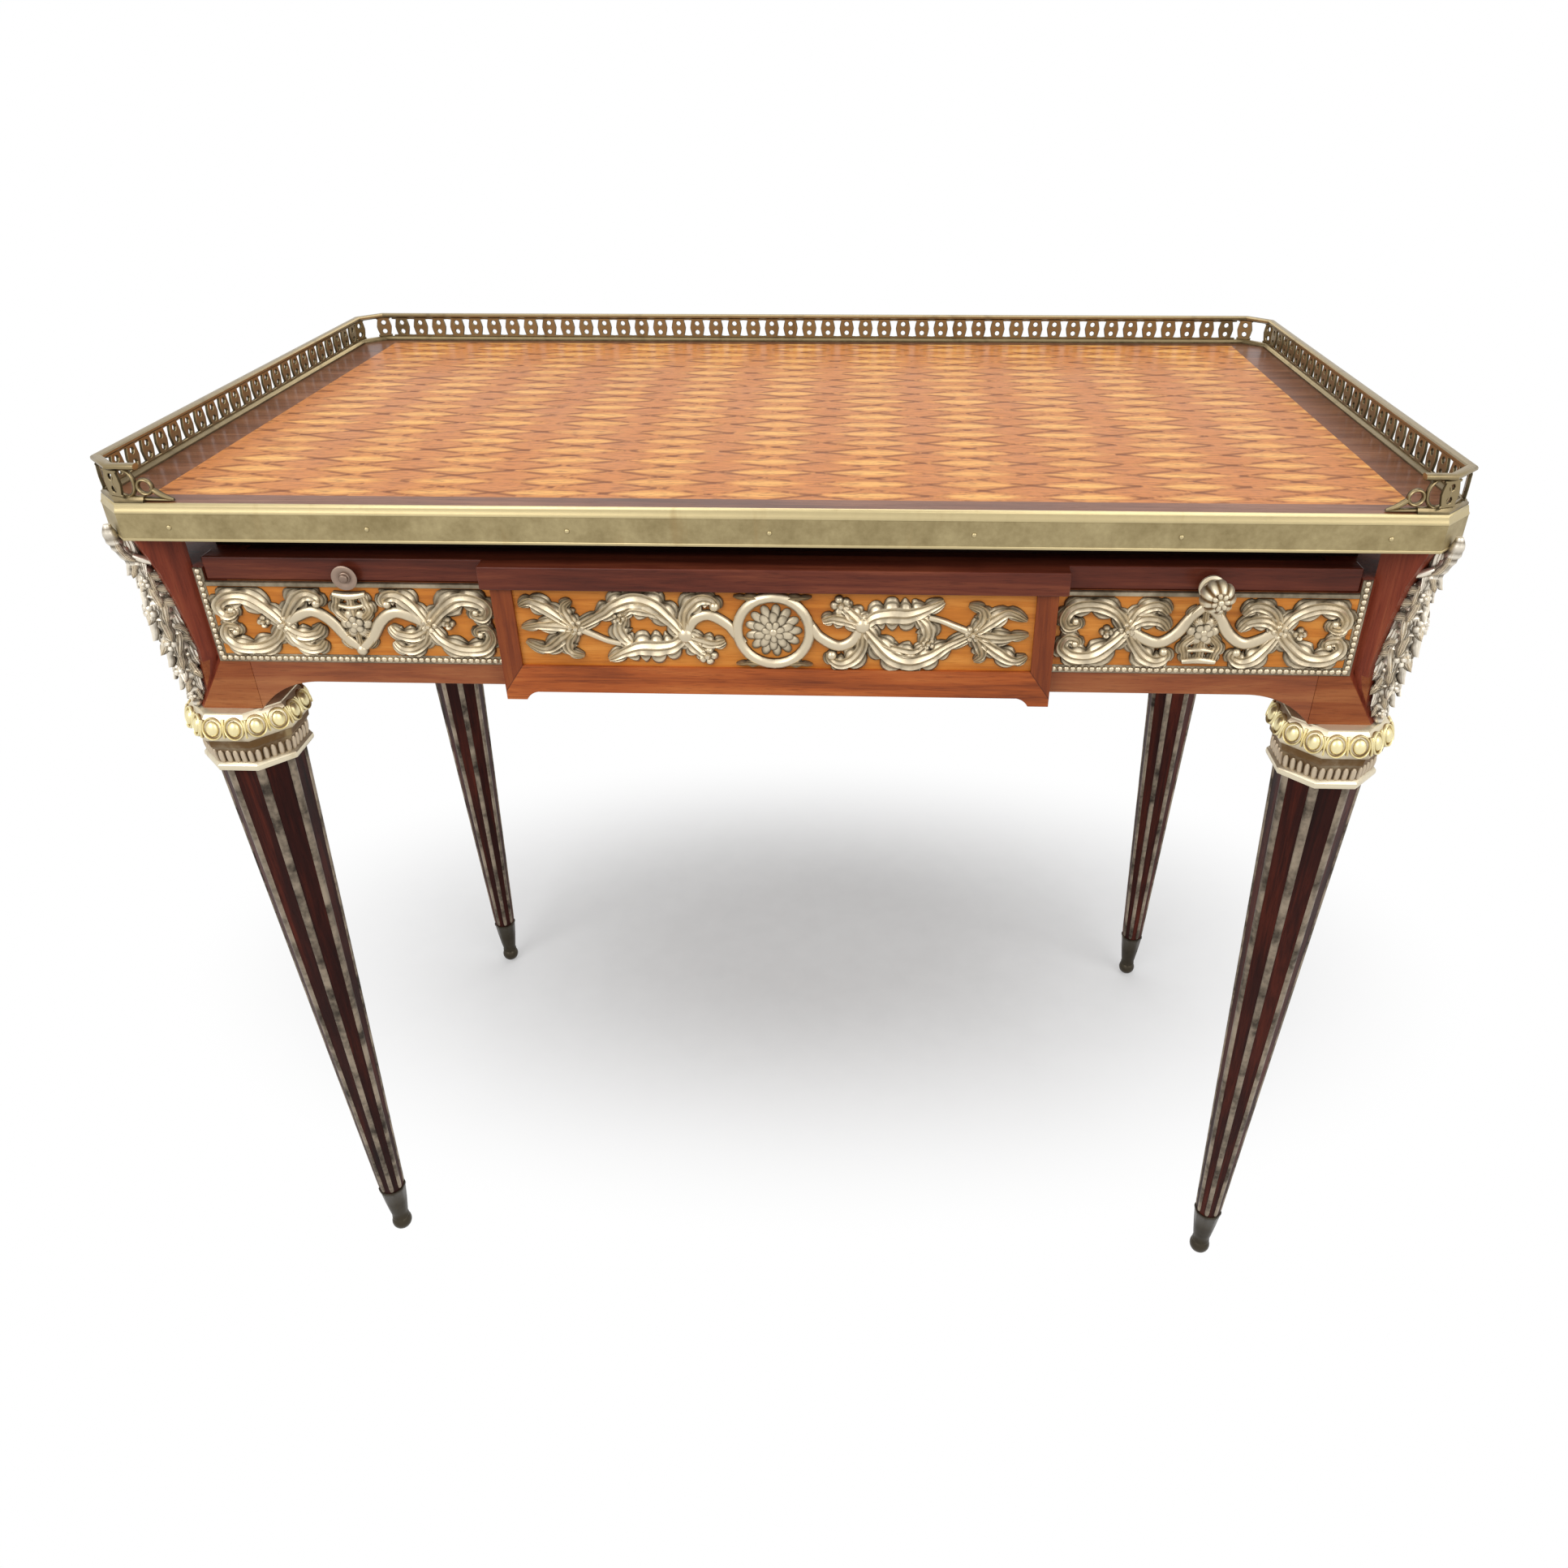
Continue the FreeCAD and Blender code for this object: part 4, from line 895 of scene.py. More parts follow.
class Relief:
    """Leaves, stems and flowers raised on a facet."""

    def __init__(self, shell: Shell, facet: Facet) -> None:
        """Works on a facet into a shell."""
        self.shell = shell
        self.facet = facet

    def strap(self, path: Sequence[Plane], widths: Sequence[float], crown: float, lobes: int = 0,
              lift: Sequence[float] = (0.0, 0.0)) -> None:
        """Raises a stem or a lobed leaf along a path.

        Args:
            path: Places on the facet.
            widths: Widths at even stations along the path.
            crown: Height over its base.
            lobes: Lobes on each edge, none for a stem.
            lift: Height of its underside at even stations.
        """
        section = Leaf.ACANTHUS.value if lobes else Leaf.STEM.value
        count = max(7 * lobes + 1, 4 * len(path))
        line = smooth(path, count)
        rows = []
        rises = []
        for k, (a, b) in enumerate(line):
            share = k / (count - 1)
            before = line[max(k - 1, 0)]
            after = line[min(k + 1, count - 1)]
            run = math.hypot(after[0] - before[0], after[1] - before[1]) or 1.0
            across = ((before[1] - after[1]) / run, (after[0] - before[0]) / run)
            half = station(widths, share) / 2
            lobe = 0.62 + 0.38 * abs(math.sin(math.pi * lobes * share)) ** 0.6 if lobes else 1.0
            arch = crown * (0.55 + 0.45 * math.sin(math.pi * min(1.0, 0.15 + share * 0.75)))
            low = station(lift, share)
            row = []
            rise = []
            for side, height in section:
                reach = abs(side)
                edge = half * side * (lobe if reach > 0.6 else 1.0)
                rib = 1.0 - (1.0 - lobe) * 2.2 * max(0.0, reach - 0.2)
                row.append(self.facet.point(a + across[0] * edge, b + across[1] * edge,
                                            low + arch * height * rib))
                # Rise follows height: painted shade at the edges and painted highlight on the
                # crown.
                rise.append(height * rib)
            rows.append(row)
            rises.append(rise)
        self.shell.loft(rows, rises)

    def rosette(self, a: float, b: float, radius: float, height: float, petals: int = 0,
                base: float = 0.0, turn: float = 0.0) -> None:
        """Raises a flower, or a smooth boss where it has no petals.

        Args:
            a: Its place along the facet.
            b: Its place up the facet.
            radius: Its reach.
            height: Its height over its base.
            petals: How many petals.
            base: Height of its underside.
            turn: Angle of its first petal.
        """
        if petals:
            profile = ((0.08, 1.0), (0.18, 0.98), (0.26, 0.80), (0.31, 0.50), (0.50, 0.74),
                       (0.72, 0.80), (0.90, 0.56), (1.0, 0.28), (1.0, 0.0))
        else:
            profile = ((0.12, 1.0), (0.45, 0.90), (0.75, 0.66), (0.94, 0.34), (1.0, 0.0))
        count = petals * 6 if petals else 12
        rows = []
        rises = []
        for reach, lift in profile:
            row = []
            rise = []
            for k, (x, y) in enumerate(circle(count, turn)):
                wave = abs(math.cos(math.pi * petals * k / count)) ** 0.7 if petals else 1.0
                if reach < 0.4:
                    wave = 1.0
                size = radius * reach * (0.74 + 0.26 * wave)
                top = base + height * lift * (0.62 + 0.38 * wave)
                row.append(self.facet.point(a + size * x, b + size * y, top))
                # Rise lower between the petals and towards the rim, for painted shade there.
                rise.append(lift * (0.4 + 0.6 * wave))
            rows.append(row)
            rises.append(rise)
        self.shell.loft(rows, rises)

    def hoop(self, place: Plane, reach: Plane, wall: float, height: float, steps: int = 32) -> None:
        """Raises a round or oval ring with a rounded face.

        Args:
            place: Its middle on the facet.
            reach: Half its width and half its height, at the middle of its wall.
            wall: Width of its wall.
            height: Its height.
            steps: How many sections it has.
        """
        section = symmetric(((0.5, 0.0), (0.5, 0.5), (0.25, 0.9), (0.0, 1.0)))
        rows = [[self.facet.point(place[0] + (reach[0] + wall * side) * x,
                                  place[1] + (reach[1] + wall * side) * y, height * lift)
                 for side, lift in section] for x, y in circle(steps)]
        self.shell.loft(rows, [[lift for _, lift in section]] * steps, True)

    def dome(self, middle: float, reach: Plane, profile: Sequence[Plane], rises: Sequence[float],
             steps: int) -> None:
        """Raises a smooth round or oval dome.

        Args:
            middle: Its place up the facet.
            reach: Half its width and half its height.
            profile: Shares of its reach, and heights.
            rises: A rise for each ring of the profile.
            steps: How many points each ring has.
        """
        rows = [[self.facet.point(reach[0] * share * x, middle + reach[1] * share * y, height)
                 for x, y in circle(steps)] for share, height in profile]
        self.shell.loft(rows, [[rise] * steps for rise in rises])


# Geometry Nodes

class Tree:
    """A Geometry Nodes tree with named inputs that ends in Realize Instances and Set Material."""

    def __init__(self, name: str, inputs: Sequence[Tuple[str, str]]) -> None:
        """Starts a tree with a geometry input, named inputs and a geometry output.

        Args:
            name: The tree's name.
            inputs: Name and socket type of each input.
        """
        self.group = bpy.data.node_groups.new(name, "GeometryNodeTree")
        face = self.group.interface
        face.new_socket("Geometry", in_out="INPUT", socket_type="NodeSocketGeometry")
        for label, kind in inputs:
            face.new_socket(label, in_out="INPUT", socket_type=kind)
        face.new_socket("Geometry", in_out="OUTPUT", socket_type="NodeSocketGeometry")
        self.source = self.group.nodes.new("NodeGroupInput").outputs

    def node(self, kind: str, settings: Optional[Dict] = None, inputs: Optional[Dict] = None,
             output: Union[int, str] = 0) -> bpy.types.NodeSocket:
        """Adds a node and hands back one of its sockets.

        Args:
            kind: The node's type.
            settings: Its properties.
            inputs: Values or links of its sockets.
            output: The socket to hand back.

        Returns:
            That socket.
        """
        made = self.group.nodes.new(kind)
        for key, setting in (settings or {}).items():
            setattr(made, key, setting)
        for key, value in (inputs or {}).items():
            if isinstance(value, bpy.types.NodeSocket):
                self.group.links.new(value, made.inputs[key])
            else:
                made.inputs[key].default_value = value
        return made.outputs[output]

    def close(self, instances: bpy.types.NodeSocket) -> None:
        """Realizes the instances, sets their material and ends the tree.

        Args:
            instances: The instances.
        """
        solid = self.node("GeometryNodeRealizeInstances", None, {0: instances})
        inputs = {0: solid, "Material": self.source["Material"]}
        dressed = self.node("GeometryNodeSetMaterial", None, inputs)
        made = self.group.nodes.new("NodeGroupOutput")
        self.group.links.new(dressed, made.inputs[0])

    def grow(self, name: str, source: bpy.types.Object, values: Dict, finish: Finish,
             sharp: float = CRISP) -> bpy.types.Object:
        """Runs the tree on an object and makes the result a plain mesh.

        Args:
            name: The new object's name.
            source: The object that carries the points or the path.
            values: Values of the named inputs.
            finish: What the result is made of.
            sharp: Edges that bend by more degrees than this stay crisp.

        Returns:
            The new object; the source is removed.
        """
        modifier = source.modifiers.new("grow", "NODES")
        modifier.node_group = self.group
        given = dict(values, Material=finish.material())
        for item in self.group.interface.items_tree:
            if item.in_out == "INPUT" and item.name in given:
                modifier[item.identifier] = given[item.name]
        bpy.context.view_layer.update()
        return stand(name, settled(source), finish, sharp)


class Trees:
    """The two trees of the table: shapes set at points, and beads along a path."""

    def __init__(self) -> None:
        """Builds both trees."""
        self.scatter = self.shapes_at_points()
        self.beads = self.beads_along_path()

    @staticmethod
    def shapes_at_points() -> Tree:
        """Tree that sets a shape at every point, turned by the point's own angles.

        Returns:
            The tree, with inputs for the shape, its size and its material.
        """
        named = (("Shape", "NodeSocketObject"), ("Size", "NodeSocketFloat"),
                 ("Material", "NodeSocketMaterial"))
        tree = Tree("shapes_at_points", named)
        angles = tree.node("GeometryNodeInputNamedAttribute", {"data_type": "FLOAT_VECTOR"},
                           {"Name": "turn"})
        turn = tree.node("FunctionNodeEulerToRotation", None, {0: angles})
        shape = tree.node("GeometryNodeObjectInfo", None, {0: tree.source["Shape"]}, "Geometry")
        inputs = {"Points": tree.source["Geometry"], "Instance": shape, "Rotation": turn,
                  "Scale": tree.source["Size"]}
        tree.close(tree.node("GeometryNodeInstanceOnPoints", None, inputs))
        return tree

    @staticmethod
    def beads_along_path() -> Tree:
        """Tree that sets beads at even steps along a path.

        Returns:
            The tree, with inputs for the bead, its spacing, diameter and material.
        """
        named = (("Bead", "NodeSocketObject"), ("Spacing", "NodeSocketFloat"),
                 ("Diameter", "NodeSocketFloat"), ("Material", "NodeSocketMaterial"))
        tree = Tree("beads_along_path", named)
        curve = tree.node("GeometryNodeMeshToCurve", None, {0: tree.source["Geometry"]})
        spread = tree.node("GeometryNodeResampleCurve", {"mode": "LENGTH"},
                           {"Curve": curve, "Length": tree.source["Spacing"]})
        bead = tree.node("GeometryNodeObjectInfo", None, {0: tree.source["Bead"]}, "Geometry")
        inputs = {"Points": spread, "Instance": bead, "Scale": tree.source["Diameter"]}
        tree.close(tree.node("GeometryNodeInstanceOnPoints", None, inputs))
        return tree

    def set_out(self, name: str, shape: bpy.types.Object, seats: Sequence[Facet], finish: Finish,
                sharp: float = CRISP) -> bpy.types.Object:
        """Sets a shape on every seat.

        Args:
            name: The new object's name.
            shape: The shape, with its own X along, Y up and Z out of a seat.
            seats: Where the shape goes, in table millimetres.
            finish: What it is made of.
            sharp: Edges that bend by more degrees than this stay crisp.

        Returns:
            The new object; the shape is removed.
        """
        mesh = bpy.data.meshes.new(name + "_points")
        mesh.from_pydata([seat.origin * MM + MIDDLE for seat in seats], [], [])
        turn = mesh.attributes.new("turn", "FLOAT_VECTOR", "POINT")
        for k, seat in enumerate(seats):
            rotation = Matrix((seat.along, seat.up, seat.out)).transposed()
            turn.data[k].vector = rotation.to_euler()
        source = show(name + "_points", mesh)
        made = self.scatter.grow(name, source, {"Shape": shape, "Size": 1.0}, finish, sharp)
        bpy.data.objects.remove(shape)
        return made


# Sub-assemblies

def fit(piece: bpy.types.Object, body: str, slot: str, *nodes: str) -> None:
    """Lets a piece ride on a body and stand for its CAD nodes.

    Args:
        piece: The piece.
        body: The body that carries it.
        slot: Its material slot; not used.
        nodes: The CAD nodes that it stands for.
    """
    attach(piece, body)
    if nodes:
        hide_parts(*nodes)
    LOG.info("%s rides on %s, %d faces", piece.name, body, len(piece.data.polygons))


def softened(node: str, name: str, finish: Finish, width: float) -> bpy.types.Object:
    """Copies a CAD node with rounded arrises.

    Args:
        node: The node.
        name: The copy's name.
        finish: What the copy is made of.
        width: Width of the rounding, millimetres.

    Returns:
        The copy.
    """
    form = bmesh.new()
    form.from_mesh(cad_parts[node].data)
    bmesh.ops.remove_doubles(form, verts=form.verts, dist=WELD)
    bmesh.ops.dissolve_limit(form, angle_limit=math.radians(FLAT), verts=form.verts,
                             edges=form.edges)
    mesh = bpy.data.meshes.new(name)
    form.to_mesh(mesh)
    form.free()
    mesh.shade_smooth()
    source = show(name + "_plain", mesh)
    bevel = source.modifiers.new("arris", "BEVEL")
    bevel.width = width * MM
    bevel.segments = 2
    bevel.limit_method = "ANGLE"
    bevel.angle_limit = math.radians(ARRIS)
    source.modifiers.new("even", "WEIGHTED_NORMAL")
    return stand(name, settled(source), finish, 180.0)


@dataclass
class TopBand:
    """Brass band round the top, with its pins."""

    profile: Tuple[Plane, ...] = (
        (3.0, 0.0), (0.8, 0.0), (0.2, 0.3), (0.0, 0.9), (0.05, 1.8), (0.3, 2.1), (0.3, 18.3),
        (0.05, 18.6), (0.1, 19.6), (0.7, 20.6), (1.2, 22.8), (1.5, 24.0), (2.1, 24.8),
        (3.0, 25.0))
    # Rise of each ring: painted highlight on the top lip and the lower bead, painted shade on the
    # flat face and the bottom edge.
    rises: Tuple[float, ...] = (
        0.2, 0.5, 0.8, 0.9, 0.8, 0.45, 0.45, 0.75, 0.85, 0.85, 0.85, 0.95, 1.0, 0.7)
    pin_radius: float = 1.7
    pin_height: float = 1.1
    pin_rise: float = 9.5
    pin_sink: float = 0.4
    pin_pitch: float = 130.0
    pin_margin: float = 65.0
    width: float = 876.0
    depth: float = 484.0

    def build(self, trees: Trees) -> None:
        """Makes and dresses the band and the pins.

        Args:
            trees: The Geometry Nodes trees.
        """
        rings = [canted(inset, TableSizes.underside + z) for inset, z in self.profile]
        corners = [list(corner) for corner in zip(*rings)]
        shell = Shell()
        shell.loft(corners, [self.rises] * len(corners), True)
        fit(shell.piece("edge_band", Finishes.band), "carcass", "band_brass", "brass_band")
        pin = Shell()
        Relief(pin, lying(0.0)).rosette(0.0, 0.0, self.pin_radius, self.pin_height)
        shape = pin.piece("pin", Finishes.band, centred=False)
        pins = trees.set_out("edge_pins", shape, self.seats(), Finishes.band)
        fit(pins, "carcass", "band_brass", "band_pins")

    def seats(self) -> List[Facet]:
        """Places of the pins on the four long faces.

        Returns:
            A facet for each pin.
        """
        seats = []
        z = TableSizes.underside + self.pin_rise
        faces = ((self.width, self.depth, False), (self.depth, self.width, True))
        for length, across, turned in faces:
            usable = length - 2 * TableSizes.cant - self.pin_margin
            count = round(usable / self.pin_pitch) + 1
            for k in range(count):
                place = usable * (k / (count - 1) - 0.5)
                for side in (-1, 1):
                    face = side * (across / 2 - self.pin_sink)
                    out = Vector((side, 0, 0)) if turned else Vector((0, side, 0))
                    origin = Vector((face, place, z)) if turned else Vector((place, face, z))
                    seats.append(Facet(origin, Z_AXIS.cross(out), Z_AXIS, out))
        return seats


@dataclass
class Gallery:
    """Pierced gallery on three sides of the top, with scrolled ends on the front edge."""

    inset: float = 5.5
    pitch: float = 18.0
    rail_end: float = 397.2
    rail_foot: float = 20.4
    link_rise: float = 12.0
    link_bar: float = 9.2
    corner_bar: float = 6.4
    hole: float = 2.2
    hole_rise: float = 4.0
    plate: float = 0.7
    bevel: float = 0.4
    crisp: float = 30.0
    scroll_half: float = 1.5
    runs: Tuple[Tuple[str, Tuple[int, ...]], ...] = (
        ("left", (7, 6, 5, 4)), ("right", (3, 2, 1, 0)), ("back", (4, 3)))
    base: Tuple[Plane, ...] = symmetric((
        (3.5, 0.0), (3.5, 1.2), (2.6, 1.8), (2.0, 3.0), (1.2, 3.5)))
    rail: Tuple[Plane, ...] = symmetric((
        (1.3, 20.4), (2.2, 21.0), (3.25, 21.8), (3.25, 23.2), (2.5, 24.1), (1.0, 24.5)))

    def build(self, trees: Trees) -> None:
        """Makes and dresses the three runs.

        Args:
            trees: The Geometry Nodes trees.
        """
        centre = canted(self.inset, TableSizes.top)
        left = self.rails((7, 6, 5, 4), True)
        left.take(self.terminal(centre[7]))
        back = self.rails((4, 3), False)
        for name, shell in (("left", left), ("right", left.mirrored()), ("back", back)):
            piece = shell.piece("gallery_rails_" + name, Finishes.gallery)
            fit(piece, "carcass", "band_brass", "gallery_" + name)
        for name, corners in self.runs:
            places = [centre[k] for k in corners]
            seats = [seat for span in zip(places, places[1:]) for seat in self.links(*span)]
            links = {"gallery_fret_": (self.link_bar, seats)}
            if name != "back":
                bends = [self.bend(centre, corner) for corner in corners]
                links["gallery_corners_"] = (self.corner_bar, bends)
            for kind, (bar, seats) in links.items():
                shape = self.link(bar)
                piece = trees.set_out(kind + name, shape, seats, Finishes.gallery, self.crisp)
                fit(piece, "carcass", "band_brass", "gallery_" + name)

    def rails(self, corners: Sequence[int], with_end: bool) -> Shell:
        """Moulded base and rail along a run of corners.

        Args:
            corners: Corners of the top, in order.
            with_end: True where the run starts on the front edge.

        Returns:
            The two mouldings.
        """
        shell = Shell()
        for profile in (self.base, self.rail):
            rings = [canted(self.inset - out, TableSizes.top + z) for out, z in profile]
            rows = [[ring[k] for ring in rings] for k in corners]
            if with_end:
                rows.insert(0, [Vector((-self.rail_end, ring[7].y, ring[7].z)) for ring in rings])
            # Painted shade at the foot of each moulding: the rise climbs from dark over its lowest
            # 3 mm.
            shaded_foot_rises = [0.35 + 0.65 * min(1.0, (z % self.rail_foot) / 3.0) for _, z in profile]
            shell.loft(rows, [shaded_foot_rises] * len(rows))
        return shell

    def links(self, start: Vector, end: Vector) -> List[Facet]:
        """Seats of the links along one straight run, without its ends.

        Args:
            start: Start of the run.
            end: Its end.

        Returns:
            A facet for each link.
        """
        run = end - start
        cells = max(1, round(run.length / self.pitch))
        along = run.normalized()
        return [self.upright(start + run * (k / cells), along) for k in range(1, cells)]

    def upright(self, place: Vector, along: Vector) -> Facet:
        """Seat of a link over a place of the top's edge."""
        return Facet(place + Z_AXIS * self.link_rise, along, Z_AXIS, along.cross(Z_AXIS))

    def bend(self, centre: Ring, corner: int) -> Facet:
        """Seat of the link that turns a corner.

        Args:
            centre: Corners of the gallery's middle line.
            corner: Number of the corner.

        Returns:
            The facet, square to the corner.
        """
        before = (centre[corner] - centre[corner - 1]).normalized()
        after = (centre[(corner + 1) % 8] - centre[corner]).normalized()
        return self.upright(centre[corner], -(before + after).normalized())

    def link(self, bar: float) -> bpy.types.Object:
        """One link of the fret: a bowed plate with two round holes, between two edge bars.

        Args:
            bar: Half length of the edge bars.

        Returns:
            The link, upright at the origin.
        """
        side = [(bar, -8.6), (bar, -7.3), (5.3, -7.0), (6.2, -3.6), (6.9, 0.0), (6.2, 3.6),
                (5.3, 7.0), (bar, 7.3), (bar, 8.6)]
        splines = [side + [(-x, z) for x, z in reversed(side)]]
        for middle in (-self.hole_rise, self.hole_rise):
            splines.append([(self.hole * x, middle + self.hole * z) for x, z in circle(8)])
        curve = bpy.data.curves.new("fret_link", "CURVE")
        curve.dimensions = "2D"
        curve.fill_mode = "BOTH"
        curve.extrude = self.plate * MM
        curve.bevel_depth = self.bevel * MM
        curve.bevel_resolution = 0
        curve.offset = -self.bevel * MM
        for points in splines:
            spline = curve.splines.new("POLY")
            spline.points.add(len(points) - 1)
            for point, (x, z) in zip(spline.points, points):
                point.co = (x * MM, z * MM, 0.0, 1.0)
            spline.use_cyclic_u = True
        mesh = settled(show("fret_link", curve))
        form = bmesh.new()
        form.from_mesh(mesh)
        bmesh.ops.remove_doubles(form, verts=form.verts, dist=WELD)
        bmesh.ops.recalc_face_normals(form, faces=form.faces)
        layer = form.verts.layers.float.new("rise")
        # Painted highlight on the plate's two faces, painted shade on its cut edges.
        for vertex in form.verts:
            faced = abs(vertex.co.z) > (self.plate + self.bevel / 2) * MM
            vertex[layer] = 0.95 if faced else 0.25
        form.to_mesh(mesh)
        form.free()
        return stand("fret_link_shape", mesh, Finishes.gallery, self.crisp)

    def terminal(self, corner: Vector) -> Shell:
        """Scrolled end on the left of the front edge: an oval ring, a small ring and a tail.

        Args:
            corner: Corner of the gallery's middle line.

        Returns:
            The scrolls.
        """
        shell = Shell()
        face = facing_front(Vector((corner.x, corner.y + self.scroll_half, TableSizes.top)))
        relief = Relief(shell, face)
        thick = 2 * self.scroll_half
        relief.hoop((6.6, 11.9), (6.4, 8.9), 2.3, thick)
        relief.hoop((19.2, 9.3), (4.6, 4.6), 2.2, thick)
        foot = ((6.6, 1.2), (14.0, 1.4), (22.0, 1.3), (30.0, 1.1), (35.8, 0.8))
        relief.strap(foot, (2.4, 2.6, 2.6, 2.2, 1.0), thick)
        tail = ((22.5, 8.2), (26.0, 5.6), (30.0, 3.2), (35.5, 1.2))
        relief.strap(tail, (3.4, 3.6, 3.0, 1.2), thick)
        return shell


@dataclass
class CornerPendant:
    """Gilt drop of leaves and flowers in front of a post's chamfer, hung from the top's corner."""

    chamfer: float = 32.0
    foot_chamfer: float = 9.0
    axis: Tuple[Tuple[float, float, float], ...] = (
        (744.0, 36.4, 2.0), (741.5, 36.8, 3.4), (736.0, 36.4, 4.6), (729.0, 34.0, 4.9),
        (720.0, 29.8, 4.8), (710.0, 24.5, 5.4), (699.0, 21.5, 6.6), (689.0, 21.5, 7.8),
        (679.0, 21.0, 8.6), (668.0, 19.0, 9.0), (657.0, 17.0, 8.6), (646.0, 16.0, 8.0),
        (636.0, 14.0, 7.2), (627.0, 10.6, 6.0), (618.0, 6.5, 4.8), (610.0, 3.2, 3.8),
        (604.6, 2.2, 2.6))
    rings: int = 60
    wreath_top: float = 714.0
    wreath_foot: float = 612.0
    leaf_core: float = 6.6
    tier: float = 10.4
    tips: Tuple[float, ...] = (703.0, 694.0, 684.0, 666.0, 657.0, 640.0, 631.0)

    def face(self, z: float) -> Facet:
        """Facet on the front left chamfer at a level.

        Args:
            z: The level.

        Returns:
            The facet, in the middle of the chamfer.
        """
        low = TableSizes.capital_top
        share = max(0.0, min(1.0, (z - low) / (TableSizes.bead_bottom - low)))
        cut = self.foot_chamfer + (self.chamfer - self.foot_chamfer) * share
        origin = Vector((cut / 2 - TableSizes.post_side, cut / 2 - TableSizes.post_front, z))
        half = math.sqrt(0.5)
        return Facet(origin, Vector((half, -half, 0)), Z_AXIS, Vector((-half, -half, 0)))

    def core(self, z: float) -> Plane:
        """Reach and radius of the drop at a level.

        Args:
            z: The level.

        Returns:
            Reach in front of the chamfer, and radius.
        """
        for (high, far, wide), (low, near, slim) in zip(self.axis, self.axis[1:]):
            if z >= low:
                share = min(1.0, (z - low) / (high - low))
                return near + (far - near) * share, slim + (wide - slim) * share
        return self.axis[-1][1], self.axis[-1][2]

    def spot(self, z: float, angle: float, share: float) -> Facet:
        """Facet beside the drop's axis, turned by an angle in degrees from straight outward.

        Args:
            z: The level.
            angle: The angle.
            share: Share of the drop's radius.

        Returns:
            The facet.
        """
        reach, radius = self.core(z)
        face = self.face(z)
        turn = math.radians(angle)
        out = face.out * math.cos(turn) + face.along * math.sin(turn)
        origin = face.point(0.0, 0.0, reach) + out * (radius * share)
        return Facet(origin, face.up.cross(out), face.up, out)

    def build(self) -> None:
        """Makes the drop and sets it on the four corners."""
        shell = Shell()
        self.body(shell)
        self.wreath(shell)
        for side in (-1, 1):
            self.flank(shell, side)
        for name, corner in zip(CORNERS, shell.corners()):
            piece = corner.piece("pendant_" + name, Finishes.pendant)
            fit(piece, "carcass", "gilt_mount", "corner_pendant_" + name)

    def body(self, shell: Shell) -> None:
        """Core of the drop and its stem, with shallow rings like wound leaves.

        Args:
            shell: Where the surfaces go.
        """
        rows = []
        rises = []
        high, low = self.axis[0][0], self.axis[-1][0]
        for k in range(self.rings):
            z = high + (low - high) * k / (self.rings - 1)
            ring = math.sin(z * 1.1)
            swell = 1.0 + 0.10 * ring
            rows.append([self.spot(z, 30.0 * j, swell).origin for j in range(12)])
            # Rise lighter on each swell and darker between: painted highlight and shade.
            rises.append([0.5 + 0.3 * ring] * 12)
        shell.loft(rows, rises)

    def wreath(self, shell: Shell) -> None:
        """Tiers of hanging leaves round the drop, with two flowers on every other tier.

        Args:
            shell: Where the surfaces go.
        """
        leaf = ((0.0, 4.5), (0.3, 0.0), (1.0, -5.0), (1.7, -9.0))
        z = self.wreath_top
        tier = 0
        while z > self.wreath_foot:
            size = self.core(z)[1] / self.leaf_core
            for j in range(5):
                angle = -125.0 + 62.0 * j + 31.0 * (tier % 2)
                bend = ((tier * 7 + j * 5) % 5 - 2) * 1.1 * size
                Relief(shell, self.spot(z, angle, 0.62)).strap(
                    scaled(leaf, bend, size), [size * width for width in (3.5, 7.0, 6.0, 1.6)],
                    3.4 * size, 2, [size * lift for lift in (0.0, 1.2, 1.8, 3.4)])
            if tier % 2:
                for angle in (-58.0 + 9.0 * (tier % 4), 44.0 - 9.0 * (tier % 4)):
                    Relief(shell, self.spot(z - 3.0, angle, 0.86)).rosette(
                        0.0, 0.0, 5.2 * size, 3.6 * size, 5, 0.0, tier + angle)
            z -= self.tier * (0.6 + 0.4 * size)
            tier += 1

    def flank(self, shell: Shell, side: int) -> None:
        """Leaf tips towards the post, and a rolled leaf and two plain ones at the stem's root.

        Args:
            shell: Where the surfaces go.
            side: Minus one or one.
        """
        tip = ((0.0, 3.0), (0.45, 2.0), (0.8, -1.5), (1.0, -5.0))
        for k, z in enumerate(self.tips):
            length = 11.0 + 2.5 * (k % 3) - 0.5 * k
            Relief(shell, self.spot(z, side * 82.0, 0.7)).strap(
                scaled(tip, side * length, 1.0), (4.0, 7.0, 5.6, 1.8), 3.6, 2,
                lift=(0.0, 1.2, 0.8, 0.0))
        roll = ((-3.0, 9.0), (3.0, 5.0), (9.0, 2.0), (13.0, -3.0), (12.5, -8.0))
        Relief(shell, self.spot(713.0, side * 88.0, 0.7)).strap(
            scaled(roll, side, 1.0), (4.0, 5.5, 5.5, 5.0, 3.0), 4.4,
            lift=(0.0, 0.8, 1.2, 1.0, 0.4))
        spray = ((0.0, 7.0), (1.0, 0.0), (4.0, -6.0), (8.0, -9.0))
        Relief(shell, self.spot(728.0, side * 60.0, 0.7)).strap(
            scaled(spray, side, 1.0), (3.0, 5.0, 5.0, 2.0), 2.6, 2)
        sheath = ((3.0, 9.5), (4.0, 3.0), (3.0, -4.0), (0.0, -11.0))
        Relief(shell, self.spot(724.0, side * 118.0, 0.5)).strap(
            scaled(sheath, side, 1.0), (9.0, 12.0, 10.0, 4.0), 2.6, 2)


